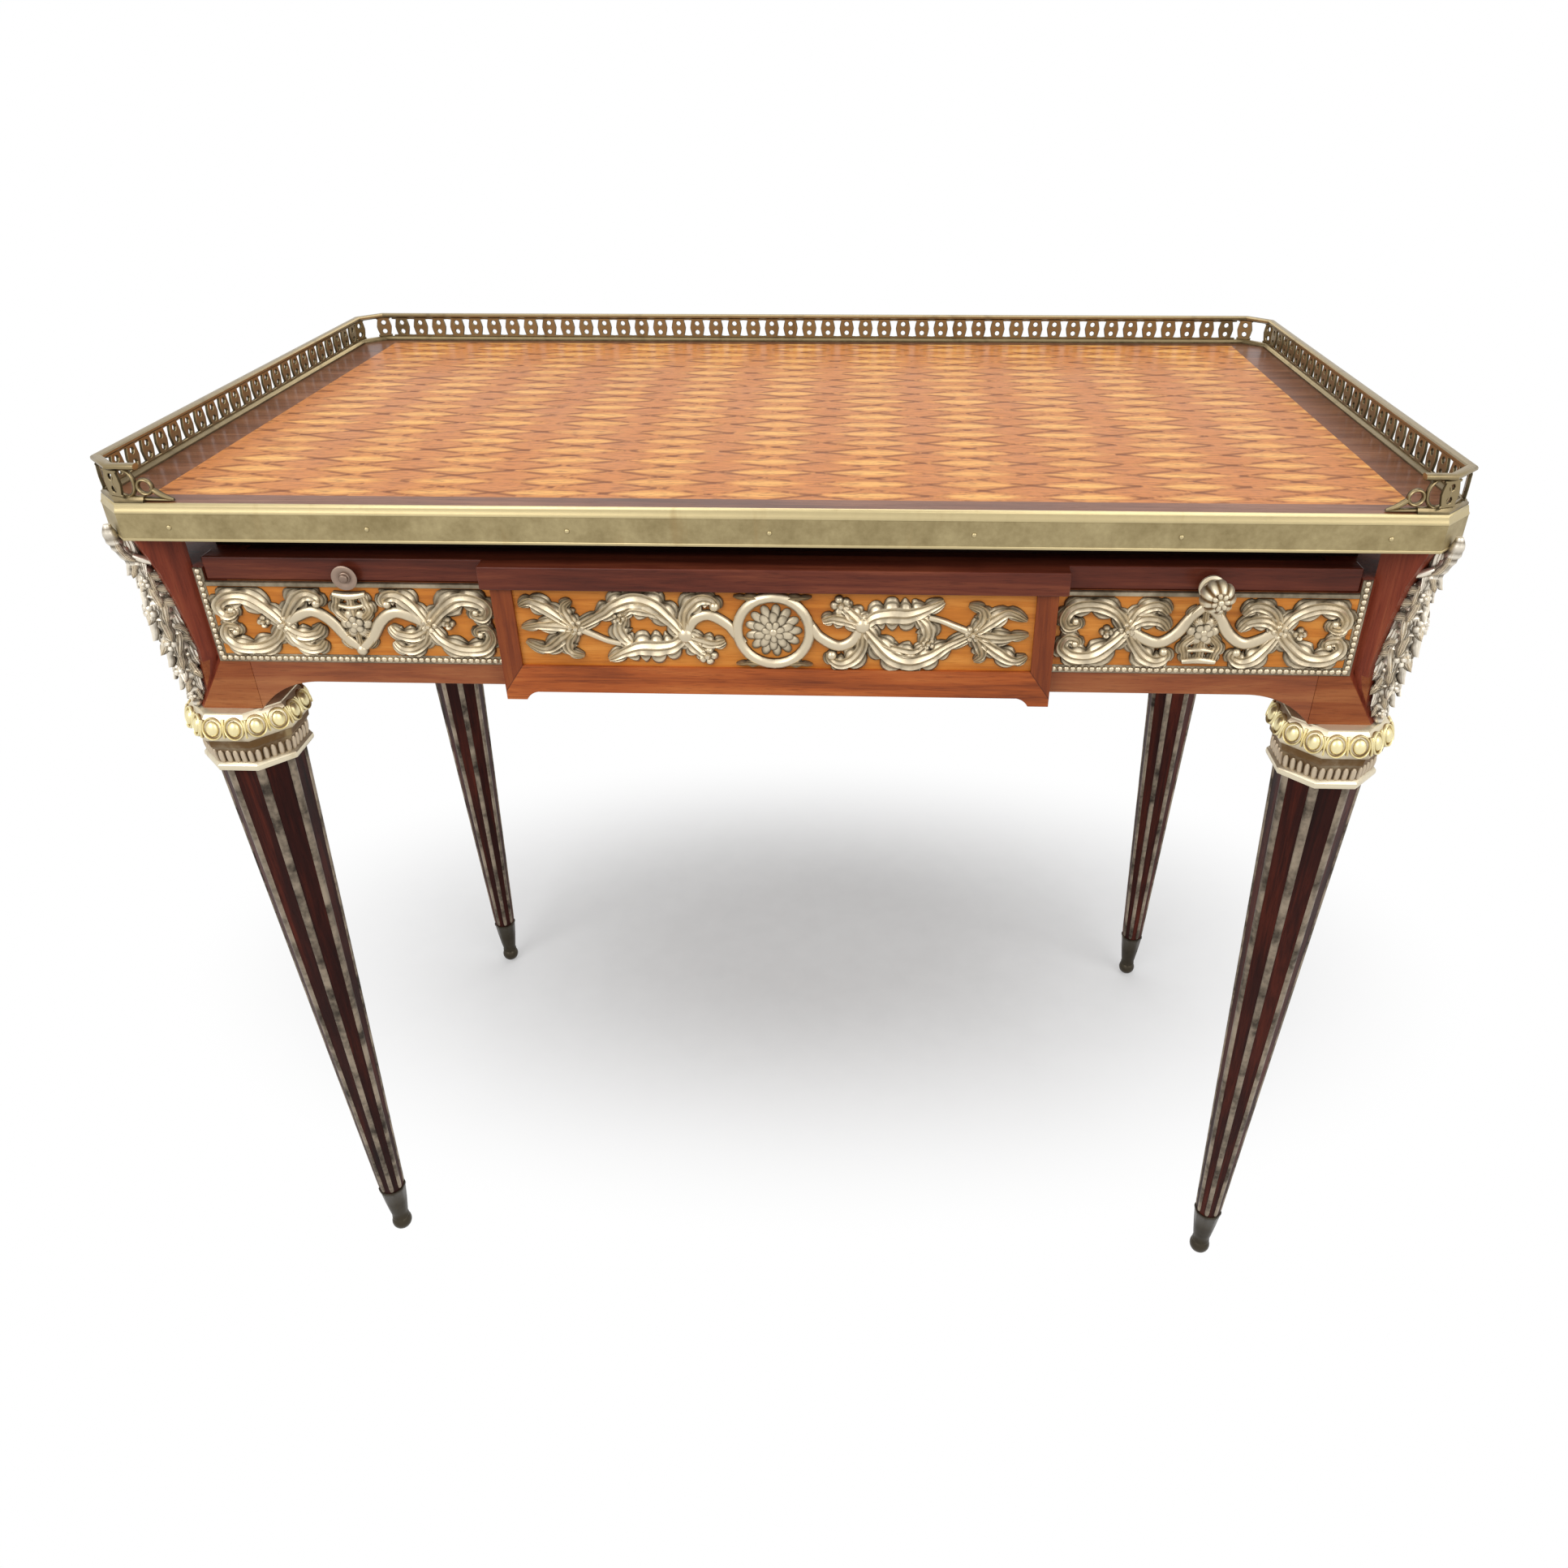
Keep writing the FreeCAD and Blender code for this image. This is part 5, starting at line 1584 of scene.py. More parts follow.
@dataclass(frozen=True)
class OrnamentRow:
    """A row of one ornament round a capital, with shares of its height and width."""

    rise: float
    reach: float
    each_side: int
    tilt: float


@dataclass
class Capital:
    """Eight-sided gilt capital: eggs and darts over a hollow and a ring of leaves."""

    width: float = 84.0
    profile: Tuple[Plane, ...] = (
        (1.0, 0.74), (0.985, 0.785), (0.965, 0.79), (0.93, 0.83), (0.88, 0.87), (0.81, 0.90),
        (0.72, 0.915), (0.63, 0.92), (0.575, 0.91), (0.545, 0.865), (0.49, 0.85), (0.43, 0.845),
        (0.395, 0.81), (0.30, 0.765), (0.16, 0.745), (0.13, 0.80), (0.10, 0.83), (0.05, 0.835),
        (0.015, 0.82), (0.0, 0.79))
    # Rise of each ring: painted highlight on the top fillet and the foot rim, painted shade in the
    # hollow band and behind the leaves.
    rises: Tuple[float, ...] = (
        0.9, 1.0, 0.9, 0.75, 0.7, 0.65, 0.7, 0.7, 0.5, 0.16, 0.14, 0.2, 0.3, 0.2, 0.2, 0.7, 0.95,
        1.0, 0.9, 0.4)
    eggs: OrnamentRow = OrnamentRow(0.775, 0.905, 2, 16.0)
    leaves: OrnamentRow = OrnamentRow(0.25, 0.775, 5, -5.0)
    crisp: float = 24.0

    def build(self, trees: Trees) -> None:
        """Makes the core, the eggs and the leaves of the four capitals.

        Args:
            trees: The Geometry Nodes trees.
        """
        height = TableSizes.capital_top - TableSizes.capital_foot
        rows = [self.ring(TableSizes.capital_foot + height * z, self.width * share)
                for z, share in self.profile]
        core = Shell()
        core.loft(rows, [[rise] * 8 for rise in self.rises])
        for name, corner in zip(CORNERS, core.corners()):
            piece = corner.piece("capital_core_" + name, Finishes.capital, self.crisp)
            fit(piece, "carcass", "capital_gilt", "capital_" + name)
        ornaments = (("capital_eggs", self.egg(), self.eggs, Finishes.egg),
                     ("capital_leaves", self.leaf(), self.leaves, Finishes.leaf))
        for name, shape, row, finish in ornaments:
            piece = trees.set_out(name, shape, self.seats(height, row), finish)
            fit(piece, "carcass", "capital_gilt", *("capital_" + corner for corner in CORNERS))

    @staticmethod
    def ring(z: float, width: float) -> Ring:
        """Octagon round the front left leg.

        Args:
            z: Its level.
            width: Its width across flats.

        Returns:
            The eight corners.
        """
        radius = width / 2 / math.cos(EIGHTH / 2)
        return [Vector((radius * x - TableSizes.leg_x, radius * y - TableSizes.leg_y, z))
                for x, y in circle(8, EIGHTH / 2)]

    def seats(self, height: float, row: OrnamentRow) -> List[Facet]:
        """Places of a repeated ornament on the eight sides of every capital.

        Args:
            height: Height of a capital.
            row: Where the ornament goes.

        Returns:
            A facet for each ornament.
        """
        seats = []
        apothem = self.width * row.reach / 2
        side = 2 * apothem * math.tan(EIGHTH / 2)
        lean = math.radians(row.tilt)
        level = TableSizes.capital_foot + row.rise * height
        for sx, sy in ((-1, -1), (-1, 1), (1, -1), (1, 1)):
            middle = Vector((sx * TableSizes.leg_x, sy * TableSizes.leg_y, level))
            for x, y in circle(8):
                flat = Vector((x, y, 0.0))
                along = Vector((-y, x, 0.0))
                out = flat * math.cos(lean) + Z_AXIS * math.sin(lean)
                for j in range(row.each_side):
                    offset = side * ((j + 0.5) / row.each_side - 0.5)
                    place = middle + flat * apothem + along * offset
                    seats.append(Facet(place, along, out.cross(along), out))
        return seats

    @staticmethod
    def egg() -> bpy.types.Object:
        """One egg in its rim, with half a dart on each side.

        Returns:
            The egg, lying at the origin.
        """
        shell = Shell()
        relief = Relief(shell, lying(-1.2))
        relief.hoop((0.0, 0.2), (6.6, 7.7), 1.4, 2.9)
        profile = ((0.15, 4.2), (0.5, 3.9), (0.8, 3.0), (0.96, 1.6), (1.0, 0.0))
        relief.dome(0.2, (4.9, 6.0), profile, [0.3 + lift * 0.17 for _, lift in profile], 12)
        dart = ((8.2, 7.0), (8.2, 1.0), (8.2, -6.5))
        for side in (-1, 1):
            relief.strap(scaled(dart, side, 1.0), (2.0, 1.6, 0.7), 2.6)
        return shell.piece("egg", Finishes.egg, centred=False)

    @staticmethod
    def leaf() -> bpy.types.Object:
        """One upright leaf with a rounded tip.

        Returns:
            The leaf, lying at the origin.
        """
        shell = Shell()
        path = ((0.0, -5.4), (0.0, -2.0), (0.0, 2.4), (0.0, 5.0))
        Relief(shell, lying(-1.0)).strap(path, (3.8, 4.6, 4.4, 1.8), 2.8)
        return shell.piece("capital_leaf", Finishes.leaf, centred=False)


@dataclass
class Legs:
    """Brass strips on the arrises of the legs, and the sabots under them."""

    top_width: float = 57.0
    foot_width: float = 21.5
    strip_top: float = 6.7
    strip_foot: float = 4.1
    strip_bed: float = 0.2
    crown: float = 0.30
    section: Tuple[Plane, ...] = symmetric(((1.0, 0.0), (0.9, 0.45), (0.55, 0.85), (0.0, 1.0)))
    section_rises: Tuple[float, ...] = (0.1, 0.5, 0.8, 1.0, 0.8, 0.5, 0.1)
    ball: float = 18.5
    ball_sink: float = 0.68
    cup: Tuple[Tuple[float, float, float], ...] = (
        (0.0, 11.2, 0.0), (0.4, 11.9, 0.0), (2.4, 11.95, 0.05), (3.2, 11.4, 0.1),
        (20.0, 9.9, 0.35), (36.0, 8.1, 0.7), (42.0, 7.2, 1.0), (43.2, 7.9, 1.0),
        (44.6, 7.9, 1.0), (45.2, 7.0, 1.0))
    steps: int = 32

    def build(self) -> None:
        """Makes the strips and the sabots of the four legs."""
        strips = Shell()
        for corner in self.strips().corners():
            strips.take(corner)
        piece = strips.piece("leg_strips", Finishes.strip, 50.0)
        fit(piece, "carcass", "inlay_brass", "leg_brass_strips")
        for name, corner in zip(CORNERS, self.sabot().corners()):
            piece = corner.piece("sabot_cup_" + name, Finishes.sabot, 40.0)
            fit(piece, "carcass", "sabot_bronze", "sabot_" + name)

    def strips(self) -> Shell:
        """Eight half-round strips of the front left leg, with rounded lower ends.

        Returns:
            The strips.
        """
        shell = Shell()
        high, low = TableSizes.capital_foot, TableSizes.sabot_top
        stations = ((high, 1.0), (high - 160, 1.0), (high - 320, 1.0), (low + 7.0, 1.0),
                    (low + 3.4, 0.94), (low + 1.6, 0.7), (low + 0.8, 0.3))
        for x, y in circle(8, EIGHTH / 2):
            out = Vector((x, y, 0.0))
            across = Vector((-y, x, 0.0))
            rows = []
            for z, share in stations:
                t = (z - low) / (high - low)
                strip = self.strip_foot + (self.strip_top - self.strip_foot) * t
                flat = self.foot_width + (self.top_width - self.foot_width) * t
                radius = flat / 2 / math.cos(EIGHTH / 2) - strip / 2 * math.tan(EIGHTH / 2)
                middle = Vector((-TableSizes.leg_x, -TableSizes.leg_y, z)) + out * radius
                half = strip / 2 * share
                crown = strip * self.crown * share
                rows.append([middle + across * (half * side) + out * (crown * lift - self.strip_bed)
                             for side, lift in self.section])
            shell.loft(rows, [self.section_rises] * len(rows))
        return shell

    def sabot(self) -> Shell:
        """Cup and ball toe of the front left leg.

        Returns:
            The sabot.
        """
        shell = Shell()
        rows = [self.cup_ring(TableSizes.sabot_top - drop, size, share)
                for drop, size, share in self.cup]
        radius = self.ball / 2
        centre = radius - self.ball_sink
        for k in range(3, 15):
            angle = math.pi / 2 - math.pi * k / 16
            z = max(0.0, centre + radius * math.sin(angle))
            rows.append(self.cup_ring(z, radius * math.cos(angle), 1.0))
        # Painted highlight on the cup's upper rim; lower down the rise grows slowly towards the
        # ball.
        rises = [0.8 if 1 < k < 4 else 0.5 + 0.02 * k for k in range(len(rows))]
        shell.loft(rows, [[rise] * self.steps for rise in rises])
        return shell

    def cup_ring(self, z: float, size: float, round_share: float) -> Ring:
        """Ring between an octagon and a circle round the front left leg.

        Args:
            z: Its level.
            size: Half its width across flats.
            round_share: Nought for an octagon, one for a circle.

        Returns:
            The ring.
        """
        ring = []
        for k in range(self.steps):
            angle = 2 * math.pi * k / self.steps
            bend = (angle + EIGHTH / 2) % EIGHTH - EIGHTH / 2
            radius = size * (round_share + (1 - round_share) * min(1.055, 1 / math.cos(bend)))
            ring.append(Vector((radius * math.cos(angle) - TableSizes.leg_x,
                                radius * math.sin(angle) - TableSizes.leg_y, z)))
        return ring


@dataclass(frozen=True)
class Stroke:
    """One stem or leaf of a mount, in shares of its half length and height."""

    widths: Tuple[float, ...]
    path: Tuple[Plane, ...]
    lobes: int = 0
    crown: float = 0.8


@dataclass(frozen=True)
class Flower:
    """One flower or boss in the middle of a mount, in shares of its height and relief."""

    rise: float
    radius: float
    crown: float
    petals: int = 0
    base: float = 0.0
    turn: float = 0.0


@dataclass
class FriezeMounts:
    """Gilt acanthus mounts of the two side bays and of the drawer."""

    relief: float = 4.9
    fullness: float = 1.15
    margin: float = 0.02
    side_strokes: Tuple[Stroke, ...] = (
        Stroke((0.13, 0.17, 0.17, 0.17),
               ((0.0, 0.09), (0.09, 0.25), (0.18, 0.52), (0.29, 0.66), (0.41, 0.59), (0.52, 0.47))),
        Stroke((0.14, 0.29, 0.35, 0.17),
               ((0.25, 0.76), (0.23, 0.86), (0.29, 0.93), (0.37, 0.88), (0.45, 0.70),
                (0.52, 0.47)), 4, 1.0),
        Stroke((0.14, 0.26, 0.29, 0.23),
               ((0.24, 0.46), (0.29, 0.34), (0.39, 0.30), (0.47, 0.36), (0.52, 0.47)), 3, 0.9),
        Stroke((0.14, 0.26, 0.26, 0.20),
               ((0.25, 0.22), (0.30, 0.11), (0.38, 0.10), (0.47, 0.22), (0.52, 0.47)), 3, 0.9),
        Stroke((0.23, 0.38, 0.32, 0.23, 0.14),
               ((0.52, 0.47), (0.60, 0.66), (0.73, 0.86), (0.87, 0.87), (0.955, 0.74),
                (0.92, 0.60), (0.85, 0.64), (0.87, 0.72)), 6, 1.0),
        Stroke((0.20, 0.32, 0.29, 0.20, 0.14),
               ((0.52, 0.47), (0.59, 0.25), (0.72, 0.11), (0.88, 0.12), (0.955, 0.28),
                (0.93, 0.43), (0.86, 0.40), (0.87, 0.31)), 6, 1.0))
    side_bosses: Tuple[Tuple[float, float, float, int], ...] = (
        (0.52, 0.47, 0.13, 5), (0.87, 0.68, 0.06, 0), (0.88, 0.34, 0.06, 0),
        (0.25, 0.79, 0.07, 0), (0.66, 0.50, 0.10, 4))
    centre_strokes: Tuple[Stroke, ...] = (
        Stroke((0.12, 0.14, 0.14),
               ((0.12, 0.32), (0.15, 0.45), (0.18, 0.58), (0.25, 0.70), (0.31, 0.62),
                (0.345, 0.42))),
        Stroke((0.12, 0.23, 0.29, 0.17),
               ((0.215, 0.78), (0.225, 0.88), (0.262, 0.93), (0.306, 0.87), (0.343, 0.70),
                (0.345, 0.42)), 4, 1.0),
        Stroke((0.12, 0.23, 0.20),
               ((0.19, 0.36), (0.23, 0.32), (0.28, 0.35), (0.345, 0.42)), 3, 0.9),
        Stroke((0.16, 0.28, 0.30),
               ((0.262, 0.15), (0.29, 0.22), (0.32, 0.32), (0.345, 0.42)), 3, 0.9),
        Stroke((0.20, 0.35, 0.38, 0.26, 0.14),
               ((0.345, 0.42), (0.40, 0.64), (0.46, 0.83), (0.535, 0.90), (0.61, 0.82),
                (0.668, 0.69), (0.771, 0.51)), 7, 1.0),
        Stroke((0.14, 0.26, 0.12),
               ((0.40, 0.64), (0.48, 0.74), (0.55, 0.77), (0.60, 0.64)), 3, 0.8),
        Stroke((0.20, 0.34, 0.40, 0.30, 0.10),
               ((0.345, 0.42), (0.39, 0.30), (0.45, 0.26), (0.52, 0.26), (0.58, 0.20),
                (0.655, 0.08)), 6, 0.95),
        Stroke((0.08, 0.08, 0.10),
               ((0.60, 0.30), (0.65, 0.34), (0.70, 0.41), (0.771, 0.51)), 0, 0.8),
        Stroke((0.14, 0.26, 0.28, 0.12),
               ((0.575, 0.68), (0.60, 0.54), (0.59, 0.40), (0.555, 0.28)), 3, 0.85),
        Stroke((0.14, 0.26, 0.17, 0.07),
               ((0.771, 0.51), (0.80, 0.66), (0.81, 0.80), (0.78, 0.88)), 3, 0.95),
        Stroke((0.14, 0.29, 0.20, 0.07),
               ((0.771, 0.51), (0.875, 0.76), (0.94, 0.86), (0.985, 0.80)), 3, 1.0),
        Stroke((0.14, 0.26, 0.17, 0.06), ((0.771, 0.51), (0.88, 0.55), (0.985, 0.51)), 3, 0.95),
        Stroke((0.14, 0.26, 0.20, 0.07),
               ((0.771, 0.51), (0.83, 0.36), (0.90, 0.22), (0.975, 0.32)), 3, 1.0),
        Stroke((0.14, 0.26, 0.17, 0.07),
               ((0.771, 0.51), (0.81, 0.32), (0.80, 0.18), (0.75, 0.13)), 3, 0.95))
    centre_bosses: Tuple[Tuple[float, float, float, int], ...] = (
        (0.262, 0.15, 0.13, 5), (0.225, 0.82, 0.07, 0), (0.345, 0.42, 0.11, 0),
        (0.60, 0.64, 0.09, 5), (0.771, 0.51, 0.12, 6))
    vase_flowers: Tuple[Flower, ...] = (
        Flower(0.48, 0.22, 0.8, 6), Flower(0.48, 0.13, 0.3, 5, 0.7, 0.5), Flower(0.09, 0.09, 0.9))
    centre_flowers: Tuple[Flower, ...] = (
        Flower(0.5, 0.34, 0.6, 13), Flower(0.5, 0.25, 0.5, 10, 0.35, 0.3),
        Flower(0.5, 0.14, 0.4, 7, 0.7, 0.3))

    def build(self) -> None:
        """Makes and dresses the three mounts."""
        low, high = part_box("frieze_panel_left")
        bay = Vector(((low.x + high.x) / 2 / MM, (low.y - CENTRE_Y) / MM, low.z / MM))
        height = (high.z - low.z) / MM
        half = (high.x - low.x) / 2 / MM - 1.0
        left = Shell()
        for reach in (-half, half):
            self.lay(left, bay, reach, height, self.side_strokes, self.side_bosses)
        self.vase(Relief(left, facing_front(bay)), height)
        left = left.kept(low, high)
        turned = left.half_turned(bay.z + height / 2)
        for name, shell in (("left", left), ("right", turned)):
            piece = shell.piece("mount_%s_bay" % name, Finishes.gilt)
            fit(piece, "carcass", "gilt_mount", "frieze_mount_" + name)
        self.build_centre()

    def vase(self, relief: Relief, height: float) -> None:
        """Raises the vase of leaves in the middle of a side bay.

        Args:
            relief: Where it is raised.
            height: Height of the bay.
        """
        for lean in (-0.22, 0.0, 0.22):
            leaf = ((0.0, 0.46), (lean, 0.66), (lean * 0.9, 0.80), (lean * 0.8, 0.93))
            relief.strap(scaled(leaf, height, height), (5.0, 11.0, 11.0, 7.0), self.relief * 0.8, 3)
            root = ((0.0, 0.42), (lean * 0.9, 0.26), (lean * 0.5, 0.12))
            relief.strap(scaled(root, height, height), (5.0, 9.0, 5.0), self.relief * 0.7, 2)
        rim = ((-0.22, 0.92), (0.0, 0.89), (0.22, 0.92))
        relief.strap(scaled(rim, height, height), (4.0, 6.0, 4.0), self.relief)
        waist = ((-0.17, 0.76), (0.0, 0.73), (0.17, 0.76))
        relief.strap(scaled(waist, height, height), (3.0, 4.5, 3.0), self.relief * 0.95)
        self.flowers(relief, height, self.vase_flowers)

    def flowers(self, relief: Relief, height: float, flowers: Sequence[Flower]) -> None:
        """Raises the flowers in the middle of a mount.

        Args:
            relief: Where they are raised.
            height: Height of the panel.
            flowers: The flowers, from the lowest up.
        """
        for flower in flowers:
            crown, base = self.relief * flower.crown, self.relief * flower.base
            relief.rosette(0.0, height * flower.rise, height * flower.radius, crown,
                           flower.petals, base, flower.turn)

    def build_centre(self) -> None:
        """Makes and dresses the mount of the drawer: one half, and the same half turned."""
        low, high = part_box("drawer_panel")
        height = (high.z - low.z) / MM
        half = (high.x - low.x) / 2 / MM - 0.8
        seat = Vector((0.0, (low.y - CENTRE_Y) / MM, low.z / MM))
        shell = Shell()
        self.lay(shell, seat, -half, height, self.centre_strokes, self.centre_bosses)
        shell.take(shell.half_turned(seat.z + height / 2))
        relief = Relief(shell, facing_front(seat))
        size = height * 0.43
        relief.hoop((0.0, height / 2), (size, size), height * 0.12, self.relief)
        self.flowers(relief, height, self.centre_flowers)
        for rise in (0.06, 0.94):
            leaf = ((0.05, rise), (0.26, rise * 0.96 + 0.02), (0.46, rise))
            for side in (-1, 1):
                path = scaled(leaf, side * height, height)
                relief.strap(path, (3.0, 7.0, 1.5), self.relief * 0.9, 3)
        mount = shell.kept(low, high).piece("mount_drawer", Finishes.gilt)
        fit(mount, "drawer", "gilt_mount", "drawer_mount")

    def lay(self, shell: Shell, seat: Vector, reach: float, height: float,
            strokes: Sequence[Stroke], bosses: Sequence[Tuple[float, float, float, int]]) -> None:
        """Lays the strokes and bosses of half a mount.

        Args:
            shell: Where they go.
            seat: Middle of the panel's lower edge.
            reach: Half length, negative for the left half.
            height: Height of the panel.
            strokes: Stems and leaves.
            bosses: Place, radius and petals of each boss.
        """
        relief = Relief(shell, facing_front(seat))
        span = 1.0 - 2 * self.margin
        for stroke in strokes:
            path = [(reach * a, height * (self.margin + span * b)) for a, b in stroke.path]
            full = height * (self.fullness if stroke.lobes else 1.0)
            widths = [full * width for width in stroke.widths]
            relief.strap(path, widths, self.relief * stroke.crown, stroke.lobes)
        for a, b, radius, petals in bosses:
            up = height * (self.margin + span * b)
            relief.rosette(reach * a, up, height * radius, self.relief, petals)


@dataclass
class BeadBorders:
    """Beaded brass borders of the side bays."""

    spacing: float = 4.3
    bead: float = 2.35
    proud: float = 3.1
    strip_proud: float = 1.4
    rail_proud: float = 2.6
    rail_height: float = 3.5

    def build(self, trees: Trees) -> None:
        """Makes the strip and the beads of both borders.

        Args:
            trees: The Geometry Nodes trees.
        """
        low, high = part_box("bead_border_left")
        panel_low, panel_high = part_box("frieze_panel_left")
        face = (high.y - CENTRE_Y) / MM
        outer, inner = low.x / MM, panel_low.x / MM
        end = high.x / MM
        foot, sill = low.z / MM, panel_low.z / MM
        lintel, top = panel_high.z / MM, high.z / MM
        strip = Shell()
        self.bar(strip, (outer, foot), (inner, top), face, self.strip_proud)
        self.bar(strip, (inner, foot), (end, sill), face, self.strip_proud)
        self.bar(strip, (inner, lintel), (end, lintel + self.rail_height), face, self.rail_proud)
        row = (foot + sill) / 2
        column = (outer + inner) / 2
        path = [(end - 1.5, row), (column, row), (column, top - 2.0)]
        for name, side, shell in (("left", 1, strip), ("right", -1, strip.mirrored())):
            piece = shell.piece("bead_strip_" + name, Finishes.gilt, 30.0)
            fit(piece, "carcass", "band_brass", "bead_border_" + name)
            mesh = bpy.data.meshes.new("bead_path")
            points = [Vector((side * x, face, z)) * MM + MIDDLE for x, z in path]
            mesh.from_pydata(points, [(0, 1), (1, 2)], [])
            bead = self.bead_shape()
            values = {"Bead": bead, "Spacing": self.spacing * MM, "Diameter": 1.0}
            source = show("bead_path", mesh)
            beads = trees.beads.grow("beads_" + name, source, values, Finishes.gilt)
            bpy.data.objects.remove(bead)
            fit(beads, "carcass", "band_brass", "bead_border_" + name)

    @staticmethod
    def bar(shell: Shell, low: Plane, high: Plane, face: float, proud: float) -> None:
        """Flat strip with sloping edges between two corners on the front.

        Args:
            shell: Where the surfaces go.
            low: Its low corner.
            high: Its high corner.
            face: Where the ground lies.
            proud: How far it stands out.
        """
        rows = []
        for inset, lift in ((0.0, 0.0), (0.0, proud * 0.6), (0.5, proud)):
            rows.append([Vector((x, face - lift, z)) for x, z in (
                (low[0] + inset, low[1] + inset), (high[0] - inset, low[1] + inset),
                (high[0] - inset, high[1] - inset), (low[0] + inset, high[1] - inset))])
        # Rise darker at the strip's foot and lighter on its face: painted shade and highlight.
        shell.loft(rows, [[0.2] * 4, [0.3] * 4, [0.4] * 4])

    def bead_shape(self) -> bpy.types.Object:
        """One round bead that faces the front.

        Returns:
            The bead, at the origin.
        """
        shell = Shell()
        lifts = ((0.25, 1.0), (0.7, 0.84), (0.95, 0.5), (1.0, 0.15))
        profile = [(share, self.proud * lift) for share, lift in lifts]
        relief = Relief(shell, facing_front(Vector()))
        relief.dome(0.0, (self.bead, self.bead), profile, [lift for _, lift in lifts], 8)
        return shell.piece("bead", Finishes.gilt, 60.0, False)


@dataclass
class SlideKnobs:
    """Turned knob of the writing slide and the bare stud on its other side."""

    knob: Tuple[Plane, ...] = (
        (0.0, 5.0), (3.8, 5.0), (4.0, 7.8), (4.6, 8.5), (5.8, 8.3), (6.6, 6.4), (7.4, 6.6),
        (8.8, 7.4), (10.2, 7.2), (11.2, 5.2), (11.8, 4.3), (12.6, 5.0), (13.4, 7.6), (15.0, 9.9),
        (17.2, 11.1), (19.6, 11.5), (22.4, 11.2), (25.0, 10.1), (27.2, 8.6), (28.6, 6.9),
        (28.9, 6.2), (28.5, 5.6))
    stud: Tuple[Plane, ...] = (
        (0.0, 5.0), (3.8, 5.0), (4.0, 7.8), (4.6, 8.5), (5.4, 8.5), (6.0, 7.6), (5.6, 5.6),
        (5.0, 3.6), (5.4, 3.0), (7.2, 3.0), (7.9, 2.2))
    lobes: int = 9
    lobe_depth: float = 0.13
    lobe_start: float = 13.0
    steps: int = 72
    flower_out: float = 27.4
    flower_radius: float = 6.6
    flower_height: float = 3.6
    petals: int = 7

    def build(self) -> None:
        """Makes and dresses the knob and the stud."""
        turnings = (("slide_knob", "slide_pull", self.knob, Finishes.capital),
                    ("slide_stud", "slide_bare_stud", self.stud, Finishes.stud))
        for node, name, profile, finish in turnings:
            low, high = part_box(node)
            middle = (low + high) / 2 / MM
            axis = Vector((middle.x, (high.y - CENTRE_Y) / MM, middle.z))
            shell = Shell()
            sinks = [[self.sink(out, k) for k in range(self.steps)] for out, _ in profile]
            rows = [[self.turned(axis, out, size * (1.0 - sink), k) for k, sink in enumerate(row)]
                    for (out, size), row in zip(profile, sinks)]
            # Painted shade in the hollows between the lobes, and lighter where the turning is
            # wider.
            rises = [[0.45 + size / 22.0 - 6.0 * sink for sink in row]
                     for (_, size), row in zip(profile, sinks)]
            shell.loft(rows, rises)
            if node == "slide_knob":
                face = facing_front(axis + FRONT * self.flower_out)
                Relief(shell, face).rosette(0.0, 0.0, self.flower_radius, self.flower_height,
                                            self.petals)
            fit(shell.piece(name, finish, 50.0), "slide", "gilt_mount", node)

    def sink(self, out: float, step: int) -> float:
        """How far the hollow between two lobes sinks into the ball, as a share of its radius.

        Args:
            out: Distance in front of the moulding.
            step: Step round the knob.

        Returns:
            The share, nought on the plain turning.
        """
        swell = min(1.0, max(0.0, (out - self.lobe_start) / 4.0))
        wave = 0.5 - 0.5 * math.cos(2 * math.pi * self.lobes * step / self.steps)
        return self.lobe_depth * swell * wave ** 2

    def turned(self, axis: Vector, out: float, radius: float, step: int) -> Vector:
        """A point of the turning, in front of its axis point."""
        angle = 2 * math.pi * step / self.steps
        return axis + Vector((radius * math.cos(angle), -out, radius * math.sin(angle)))


